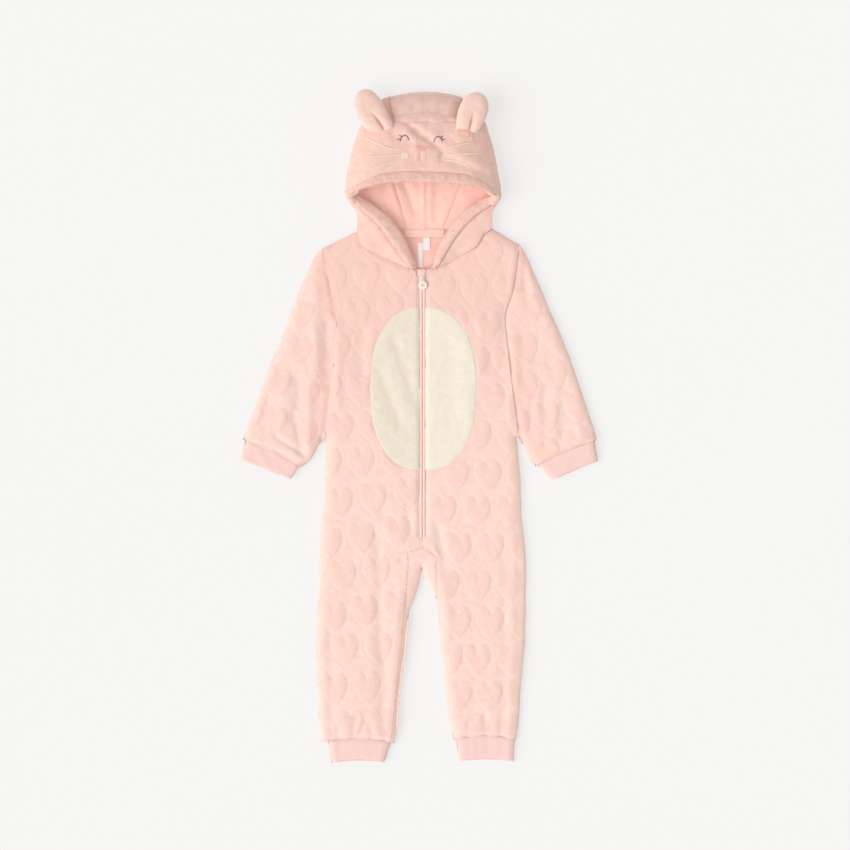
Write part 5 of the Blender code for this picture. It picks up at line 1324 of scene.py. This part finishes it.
def dress_hem(node, flap):
    """A soft rolled hem along the hood's opening."""
    rim = rim_of(node)
    sewn = meets(rim, flap)
    free = [part for part in pairs(rim, close=True)
            if distance([(part[0] + part[1]) / 2], sewn)[0] > 6]
    brim = pairs(rim_of("brim_hem"), close=True)
    heights = rim[:, 2] + np.where(distance(rim, sewn) < 2, 1.2, -1.0)

    def height(points):
        roll = quarter(distance(points, free) / 6.5) * (0.45 + 0.55 * quarter(distance(points, sewn) / 5.0))
        lift = 6.0 * np.exp(-(distance(points, brim) / 9) ** 2)
        bumps = 1.4 * plush_noise(flat_points(points)) + 0.5 * clumps(flat_points(points), 5.0, 8)
        return (rim_height(points, rim, heights) + 3.2 * roll + lift + bumps,
                np.zeros(len(points)), np.zeros(len(points)))

    bm = cad_copy(node)
    swell(bm, rim, seam_reach(node, 0.6, 3.2))
    relay(bm, 1, 1.1, height)
    return finish(as_object(f"{node}_plush", bm, PINK_HEM_PAINTED_SHADE), node)


def dress_hood_centre():
    """The strip from the neck up the back of the hood, and over the crown."""
    rim = rim_of("hood_centre")
    back = [(a, b) for a, b in pairs(rim, close=True) if max(a[2], b[2]) < 15.5]
    sides = [pairs(rim_of(f"hood_side_{side}"), close=True) for side in ("left", "right")]

    def crown(points):
        rolled = quarter(distance(points, back) / 13)
        top = hood_height(points) + 1.3 * plush_noise(flat_points(points))
        top += 0.8 * clumps(flat_points(points), 15.0, 4) - seam_drop(points, rim, HOOD_SEAMS["hood_centre"])
        return 13 + (top - 13) * rolled, np.zeros(len(points)), np.zeros(len(points))

    def floor(points):
        base = 3.0 + 4.5 * smooth_step((points[:, 1] - 600) / 35)
        to_seam = np.minimum(distance(points, sides[0]), distance(points, sides[1]))
        waves = fold_height(points, HOOD_FOLDS) + plush_noise(flat_points(points), 1.2)
        fade = np.clip(to_seam / 6, 0.15, 1)
        # the seam mark is painted shade along the side seams
        return (base + waves * fade - 0.6 * np.exp(-(to_seam / 2.4) ** 2), np.zeros(len(points)),
                0.4 * np.exp(-to_seam / 1.2))

    bm = cad_copy("hood_centre")
    swell(bm, rim, seam_reach("hood_centre", 0.4, 2.5))
    relay(bm, 1, 1.3, crown, tilt=CROWN_TILT)
    relay(bm, 1, 1.6, floor, below=7.6)
    piece = as_object("hood_centre_plush", bm, PINK_CROWN_PAINTED_SHADE)
    piece.data.materials.append(PINK_INSIDE_PAINTED_GLOW)
    for face in piece.data.polygons:
        face.material_index = int(face.center.z < 7.8 * MM)
    return finish(piece, "hood_centre")


def two_skins(bm, outline, step, upper, lower):
    """A closed pad inside an outline; upper and lower give its two heights."""
    xs = np.arange(outline[:, 0].min(), outline[:, 0].max(), step)
    ys = np.arange(outline[:, 1].min(), outline[:, 1].max(), step * 0.87)
    grid = np.array([(x + (step / 2 if i % 2 else 0), y) for i, y in enumerate(ys) for x in xs])
    grid = grid[inside(grid, outline)]
    grid = grid[distance(grid, pairs(outline, close=True)) > 0.65 * step]
    points = np.concatenate([outline, grid])
    tops = [bm.verts.new((x, y, z)) for (x, y), z in zip(points, upper(points))]
    unders = [tops[i] if i < len(outline) else bm.verts.new((x, y, z))
              for i, ((x, y), z) in enumerate(zip(points, lower(points)))]
    _, _, faces, origins, _, _ = delaunay_2d_cdt([Vector(p) for p in points], [],
                                                 [list(range(len(outline)))], 1, 1e-4)
    for face in faces:
        ids = [origins[i][0] for i in face]
        bm.faces.new([tops[i] for i in ids])
        if any(unders[i] is not tops[i] for i in ids):
            bm.faces.new([unders[i] for i in ids[::-1]])
    return points, tops


def stuffed_ear(node):
    """A padded ear, pleated at its foot."""
    outline = smooth_line(EARS[node]["outline"] + EARS[node]["outline"][:1], 2.0)[:-1]
    crease = pairs(smooth_line(EARS[node]["crease"], 2.0))

    def middle(points):
        return np.interp(points[:, 1], *zip(*EAR_MIDDLE))

    def swelled(points):
        return EAR_HALF_THICK * quarter(distance(points, pairs(outline, close=True)) / 11.0)

    def pleat_share(points):
        return smooth_step((612 - points[:, 1]) / 16)

    def upper(points):
        gap = distance(points, crease)
        pleat = pleat_share(points) * (4.2 * np.exp(-(gap / 1.5) ** 2) + 2.0 * np.exp(-(gap / 5.0) ** 2))
        swell_up = swelled(points)
        return (middle(points) + swell_up - np.minimum(pleat, swell_up * 1.2)
                + plush_noise(flat_points(points), 0.8))

    bm = bmesh.new()
    pile, seam = bm.faces.layers.float.new("pile"), bm.verts.layers.float.new("seam")
    bm.verts.layers.float.new("heart")
    points, tops = two_skins(bm, outline, 0.9, upper, lambda points: middle(points) - swelled(points))
    for face in bm.faces:
        face[pile] = 1.0
    # painted shade: the seam mark deepens the pink in the pleat's crease
    for vert, mark in zip(tops, pleat_share(points) * np.exp(-(distance(points, crease) / 1.2) ** 2)):
        vert[seam] = 0.8 * mark
    piece = finish(as_object(f"{node}_plush", bm, PINK_HEM_PAINTED_SHADE), node)
    return piece


def widened(points, normals):
    """The flower's centre, spread over the foot of its petals."""
    middle = points.mean(axis=0)
    return middle + (points - middle) * (1.45, 1.25, 0.8) + (0, -0.6, -0.4)


def spread_petals(points, normals):
    """The petals, a little larger than the solid and lower on the hood."""
    middle = points.mean(axis=0)
    return middle + (points - middle) * (1.15, 1.1, 1.0) + (0, -1.2, 0)


# ---------------------------------------------------------------- embroidery

def seen_at(points, height):
    """Where a raised point lies that is seen at these places from the camera."""
    points = np.asarray(points, float)
    middle = np.array(CAMERA_MIDDLE)
    return middle + (points - middle) * (1 - height / CAMERA_HIGH)


def on_face(points, lift=0.3):
    points = seen_at(points, 36.0)
    return np.c_[points, hood_height(points) + face_folds(points) + lift]


CHEEKS = [("cheek_embroidery_left", (-23.6, 552.7, 4.2), CHEEK_LEFT),
          ("cheek_embroidery_right", (22.3, 553.8, 3.9), CHEEK_RIGHT)]


def embroider(face):
    whiskers = [on_face(smooth_line(line, 2.0)) for line in WHISKERS]
    sew("whisker_embroidery", whiskers, face, CREAM_THREAD, 0.42, 2.9, 0.6, turn=72, lift=0.2)
    eyes = [on_face(smooth_line(line, 1.0)) for line in EYES]
    eyes += [on_face(smooth_line(line, 1.0)) for line in LASHES]
    sew("eye_embroidery", eyes, face, EYE_THREAD, 0.4, 1.25, 0.55, turn=75, lift=0.3)
    nose_lines = []
    for t in np.linspace(0.02, 0.98, 15):
        y = NOSE["low"] + (NOSE["top"] - NOSE["low"]) * t
        half = NOSE["half_low"] + (NOSE["half_top"] - NOSE["half_low"]) * t ** 0.8
        nose_lines.append(on_face([(NOSE["x"] - half, y), (NOSE["x"], y), (NOSE["x"] + half, y)]))
    sew("nose_embroidery", nose_lines, face, NOSE_THREAD, 1.6, 2.2, 0.75, turn=8, lift=0.55)
    mouth = [on_face(smooth_line(line, 1.0)) for line in MOUTH]
    sew("mouth_embroidery", mouth, face, MOUTH_THREAD, 0.45, 1.3, 0.45, turn=80, lift=0.05)
    for name, (x, y, radius), thread in CHEEKS:
        dots = []
        for v in np.arange(-radius + 0.2, radius, 0.45):
            half = math.sqrt(radius ** 2 - v ** 2)
            dots.append(on_face([(x - half, y + v), (x, y + v), (x + half, y + v)]))
        sew(name, dots, face, thread, 1.5, 2.1, 0.6, turn=6, lift=0.35)


# ---------------------------------------------------------------- zip, tape and labels

def strip(profile, ys, waver=0.08):
    """A strip along the zip with a closed section of (x, z) points."""
    bm = bmesh.new()
    rings = []
    for y in ys:
        sway = waver * noise.noise(Vector((profile[0][0], y / 30, 0)))
        rings.append([bm.verts.new((x + sway, y, z)) for x, z in profile])
    for one, two in zip(rings, rings[1:]):
        for i in range(len(profile)):
            j = (i + 1) % len(profile)
            bm.faces.new((one[i], one[j], two[j], two[i]))
    bm.faces.new(rings[0][::-1])
    bm.faces.new(rings[-1])
    return bm


def dress_zip():
    tape = finish(as_object("zip_tape_cloth", cad_copy("zip_tape"), TAPE_LOOK, smooth=False), "zip_tape")
    ys = np.arange(ZIP_FOOT - 3, ZIP_HEAD + 3, 3.0)
    section = [(0.22, 6.1), (0.26, 8.4), (0.6, 8.95), (1.4, 9.2), (2.6, 9.15), (3.5, 8.9), (4.0, 8.2), (4.1, 6.1)]
    halves = bmesh.new()
    for side in (-1, 1):
        half = strip([(side * x, z) for x, z in section], ys)
        part = bpy.data.meshes.new("half")
        half.to_mesh(part)
        half.free()
        halves.from_mesh(part)
        bpy.data.meshes.remove(part)
    finish(as_object("zip_tape_folds", halves, TAPE_FOLD_LOOK), "zip_coil")
    sides = [[(0, y, 7.0) for y in np.arange(ZIP_FOOT, ZIP_HEAD, 4.0)]]
    teeth = grown("zip_teeth", line_mesh("zip_teeth", sides), STITCHES, COIL_LOOK, Cloth=tape,
                  Pitch=TEETH_PITCH * MM, Length=1.5 * MM, Thickness=0.85 * MM,
                  Turn=math.radians(90), Lift=2.5 * MM)
    finish(teeth)
    for node, width in (("zip_slider", 0.25), ("zip_pull", 0.3), ("zip_pull_centre", 0.2)):
        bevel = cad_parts[node].modifiers.new("softened edges", "BEVEL")
        bevel.width, bevel.segments, bevel.limit_method = width * MM, 2, "ANGLE"


def dress_zip_guard():
    """The plush tab over the zip's upper end, with the facing that it is sewn to."""
    bm = cad_copy("zip_guard")
    for mark in ("heart", "seam"):
        bm.verts.layers.float.new(mark)
    bm.faces.layers.float.new("pile")
    bmesh.ops.delete(bm, geom=list(bm.verts), context="VERTS")
    for points, top, low in GUARD_PADS:
        outline = smooth_line([*points, points[0]], 1.2)[:-1]
        edge = pairs(outline, close=True)

        def upper(places):
            return (low + (top - low) * quarter(distance(places, edge) / 3.5)
                    + plush_noise(flat_points(places), 0.6))

        two_skins(bm, outline, 0.8, upper, lambda places: low - 0.8 * quarter(distance(places, edge) / 2))
    return finish(as_object("zip_guard_plush", bm, PINK), "zip_guard")


def thin_label(node, thick, material, curl, stitched, spare=0.0):
    """A label that lies slightly curled, with its corners rounded; spare runs under the hems."""
    low, high = (np.array(c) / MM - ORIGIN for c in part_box(node))
    low[0], high[0] = low[0] - spare, high[0] + spare
    bm = bmesh.new()
    rows, columns = 24, 8
    grid = []
    for j in range(rows + 1):
        v = j / rows
        end = 0.7 * (1 - quarter(min(v, 1 - v) / 0.05)) if thick < 1 else 0.0
        row = []
        for i in range(columns + 1):
            u = i / columns
            x = low[0] + end + (high[0] - low[0] - 2 * end) * u
            y = low[1] + (high[1] - low[1]) * v
            z = low[2] + thick + curl * (math.sin(3.1 * v + 0.8 * u) ** 2) * 0.5
            row.append((x, y, z))
        grid.append(row)
    top = [[bm.verts.new(p) for p in row] for row in grid]
    under = [[bm.verts.new((p[0], p[1], p[2] - thick)) for p in row] for row in grid]
    for j in range(rows):
        for i in range(columns):
            bm.faces.new((top[j][i], top[j][i + 1], top[j + 1][i + 1], top[j + 1][i]))
            bm.faces.new((under[j][i], under[j + 1][i], under[j + 1][i + 1], under[j][i + 1]))
    edge = ([(0, i) for i in range(columns)] + [(j, columns) for j in range(rows)]
            + [(rows, i) for i in range(columns, 0, -1)] + [(j, 0) for j in range(rows, 0, -1)])
    for (a, b), (c, d) in zip(edge, edge[1:] + edge[:1]):
        bm.faces.new((top[a][b], under[a][b], under[c][d], top[c][d]))
    piece = finish(as_object(f"{node}_cloth", bm, material, smooth=False), node)
    for name, line in stitched.items():
        sew(name, [[(low[0] + (high[0] - low[0]) * u, low[1] + (high[1] - low[1]) * v, high[2])
                    for u, v in line]], piece, SEWING, 1.9, 1.3, 0.35, lift=0.1)
    return piece


# ---------------------------------------------------------------- build

patches = {side: patch_outline(f"belly_{side}") for side in ("left", "right")}
dress_front("front_left", HEARTS_LEFT, HEART_TILTS["left"], patches["left"])
dress_front("front_right", HEARTS_RIGHT, HEART_TILTS["right"], patches["right"])
dress_front("crotch_gusset")
dress_belly("belly_left", CREAM_PAINTED_SHADE)
dress_belly("belly_right", CREAM)
dress_back()
dress_sleeve("left", HEARTS_SLEEVE_LEFT, HEART_TILTS["sleeve_left"])
dress_sleeve("right", HEARTS_SLEEVE_RIGHT, HEART_TILTS["sleeve_right"])
for cuff, turn in (("wrist_cuff_left", -24), ("wrist_cuff_right", 24), ("ankle_cuff_left", 0),
                   ("ankle_cuff_right", 0)):
    dress_cuff(cuff, turn)

face = dress_hood_top("hood_face")
dress_hood_top("hood_temple_left")
dress_hood_top("hood_temple_right")
dress_brim()
dress_hood_side("hood_side_left")
dress_hood_side("hood_side_right")
dress_hood_centre()
for side in ("left", "right"):
    dress_hem(f"hood_hem_{side}", f"hood_flap_{side}")
    dress_hood_front(f"hood_flap_{side}", f"hood_hem_{side}", f"front_{side}")
stuffed_ear("ear_left")
stuffed_ear("ear_right")
finish(soft_solid("ear_flower_plush", "ear_flower", PETAL, 0.7, 6, 0.2, 0.3, spread_petals),
       "ear_flower")
finish(soft_solid("ear_flower_centre_plush", "ear_flower_centre", PEACH, 0.6, 5, 0.3, 0.2,
                  widened), "ear_flower_centre")
embroider(face)
dress_zip()
thin_label("neck_tape", 1.0, PINK_INSIDE_PAINTED_GLOW, 0.3,
           {"neck_tape_stitches_upper": [(0.01, 0.86), (0.99, 0.86)],
            "neck_tape_stitches_lower": [(0.01, 0.14), (0.99, 0.14)]}, spare=3.5)
thin_label("neck_label", 0.5, LABEL_LOOK, 0.8, {"neck_label_stitches": [(0.08, 0.93), (0.92, 0.93)]})
thin_label("care_label", 0.5, LABEL_LOOK, 1.0, {})
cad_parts["zip_slider"].data.materials[0] = SLIDER_LOOK
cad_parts["zip_pull"].data.materials[0] = RUBBER_LOOK
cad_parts["zip_pull_centre"].data.materials[0] = CENTRE_LOOK
dress_zip_guard()


# ---------------------------------------------------------------- pile and cuts

BRUSHED = {             # fibres on a square centimetre, length, the way they are combed, and look
    "brim_hem_plush": (90, 1.8, (0.0, -0.7, 0.1), BRIM_TIPS),
    "hood_hem_left_plush": (90, 1.7, (0.4, 0.5, 0.1), HEM_TIPS),
    "hood_hem_right_plush": (90, 1.7, (-0.4, 0.5, 0.1), HEM_TIPS),
    "ear_flower_plush": (120, 1.0, (0.0, -0.2, 0.2), PETAL_TIPS),
    "ear_flower_centre_plush": (120, 1.0, (0.0, -0.2, 0.2), PEACH_TIPS),
}
for index, (name, (density, length, comb, look)) in enumerate(BRUSHED.items()):
    brushed(bpy.data.objects[name], density, length, comb, look, seed=index + 1)

CUTS = {                # width, length and area of each cut in metres, and what it lies on
    "back_panel_plush": (0.282, 0.693, 0.166, None),
    "front_left_plush": (0.143, 0.689, 0.0785, "back_panel_plush"),
    "front_right_plush": (0.139, 0.689, 0.0770, "back_panel_plush"),
    "crotch_gusset_plush": (0.022, 0.530, 0.0044, "back_panel_plush"),
    "belly_left_plush": (0.066, 0.220, 0.0118, "front_left_plush"),
    "belly_right_plush": (0.068, 0.220, 0.0122, "front_right_plush"),
    "sleeve_left_plush": (0.150, 0.300, 0.0360, None),
    "sleeve_right_plush": (0.150, 0.300, 0.0350, None),
    "wrist_cuff_left_knit": (0.150, 0.030, None, None),
    "wrist_cuff_right_knit": (0.150, 0.030, None, None),
    "ankle_cuff_left_knit": (0.166, 0.030, None, None),
    "ankle_cuff_right_knit": (0.158, 0.033, None, None),
    "hood_centre_plush": (0.097, 0.240, 0.0195, "back_panel_plush"),
    "hood_side_left_plush": (0.083, 0.182, 0.0102, None),
    "hood_side_right_plush": (0.079, 0.177, 0.0087, None),
    "hood_temple_left_plush": (0.044, 0.037, 0.0013, "hood_centre_plush"),
    "hood_temple_right_plush": (0.042, 0.036, 0.0012, "hood_centre_plush"),
    "hood_face_plush": (0.211, 0.095, 0.0165, "hood_centre_plush"),
    "brim_hem_plush": (0.225, 0.021, None, "hood_face_plush"),
    "hood_hem_left_plush": (0.130, 0.021, None, "hood_side_left_plush"),
    "hood_hem_right_plush": (0.125, 0.020, None, "hood_side_right_plush"),
    "hood_flap_left_plush": (0.084, 0.094, 0.0029, "hood_side_left_plush"),
    "hood_flap_right_plush": (0.085, 0.092, 0.0029, "hood_side_right_plush"),
    "ear_flower_plush": (0.031, 0.022, 0.0005, "hood_face_plush"),
    "ear_flower_centre_plush": (0.019, 0.012, 0.00018, "ear_flower_plush"),
    "zip_guard_plush": (0.030, 0.014, None, "zip_tape_cloth"),
    "neck_tape_cloth": (0.052, 0.0105, None, "back_panel_plush"),
    "zip_tape_cloth": (0.022, 0.366, None, "back_panel_plush"),
}
GOES_WITH = {           # small pieces that are sewn to a larger one
    "neck_tape_cloth": ["neck_label_cloth", "care_label_cloth"],
    "zip_tape_cloth": ["zip_tape_folds", "zip_teeth"],
}
for name, (width, length, area, under) in CUTS.items():
    extra = [other for other in GOES_WITH.get(name, [])]
    if name in BRUSHED:
        extra.append(name.replace("_plush", "_pile"))


# ---------------------------------------------------------------- floor, lights and camera

FLOOR_GLOW = 0.597      # the floor is lit from below as well, which keeps the shadows faint


def floor():
    bm = bmesh.new()
    bmesh.ops.create_grid(bm, x_segments=1, y_segments=1, size=4.0)
    mesh = bpy.data.meshes.new("floor")
    bm.to_mesh(mesh)
    bm.free()
    material, tree, shader = new_material("pale studio floor")
    place = add_node(tree, "ShaderNodeTexCoord").outputs["Object"]
    grain = add_node(tree, "ShaderNodeTexNoise", {"Vector": place, "Scale": 3.0}).outputs[0]
    tone = mixed(tree, grain, (0.298, 0.297, 0.295, 1), (0.302, 0.301, 0.299, 1))
    tree.links.new(tone, shader.inputs["Base Color"])
    shader.inputs["Roughness"].default_value = 0.9
    shader.inputs["Specular IOR Level"].default_value = 0.0
    shader.inputs["Emission Color"].default_value = (1.0, 0.993, 0.981, 1)
    shader.inputs["Emission Strength"].default_value = FLOOR_GLOW
    made = mesh_object("floor", mesh, material, smooth=False)


def sun(name, towards, power, angle):
    """A soft directional light that shines from the given direction."""
    lamp = bpy.data.lights.new(name, "SUN")
    lamp.energy, lamp.angle = power, math.radians(angle)
    made = bpy.data.objects.new(name, lamp)
    made.rotation_euler = Vector(towards).to_track_quat("Z", "Y").to_euler()
    bpy.context.scene.collection.objects.link(made)


def studio():
    world = bpy.data.worlds.new("studio")
    world.use_nodes = True
    sky = world.node_tree.nodes["Background"]
    sky.inputs["Color"].default_value = (1.0, 0.995, 0.99, 1)
    sky.inputs["Strength"].default_value = 0.70
    bpy.context.scene.world = world
    sun("key light from the left", (-0.72, -0.30, 0.62), 2.0, 55)
    bpy.context.scene.view_settings.view_transform = "Standard"


def camera():
    """Straight down from far away, as the photograph was taken."""
    lens = bpy.data.cameras.new("camera")
    made = bpy.data.objects.new("camera", lens)
    bpy.context.scene.collection.objects.link(made)
    centre = to_frame((*CAMERA_MIDDLE, CAMERA_HIGH))
    made.location = centre
    lens.sensor_width = 36.0
    lens.lens = lens.sensor_width * CAMERA_HIGH / (850 * MM_PER_PIXEL)
    lens.clip_end = 50.0
    bpy.context.scene.camera = made


floor()
studio()
camera()
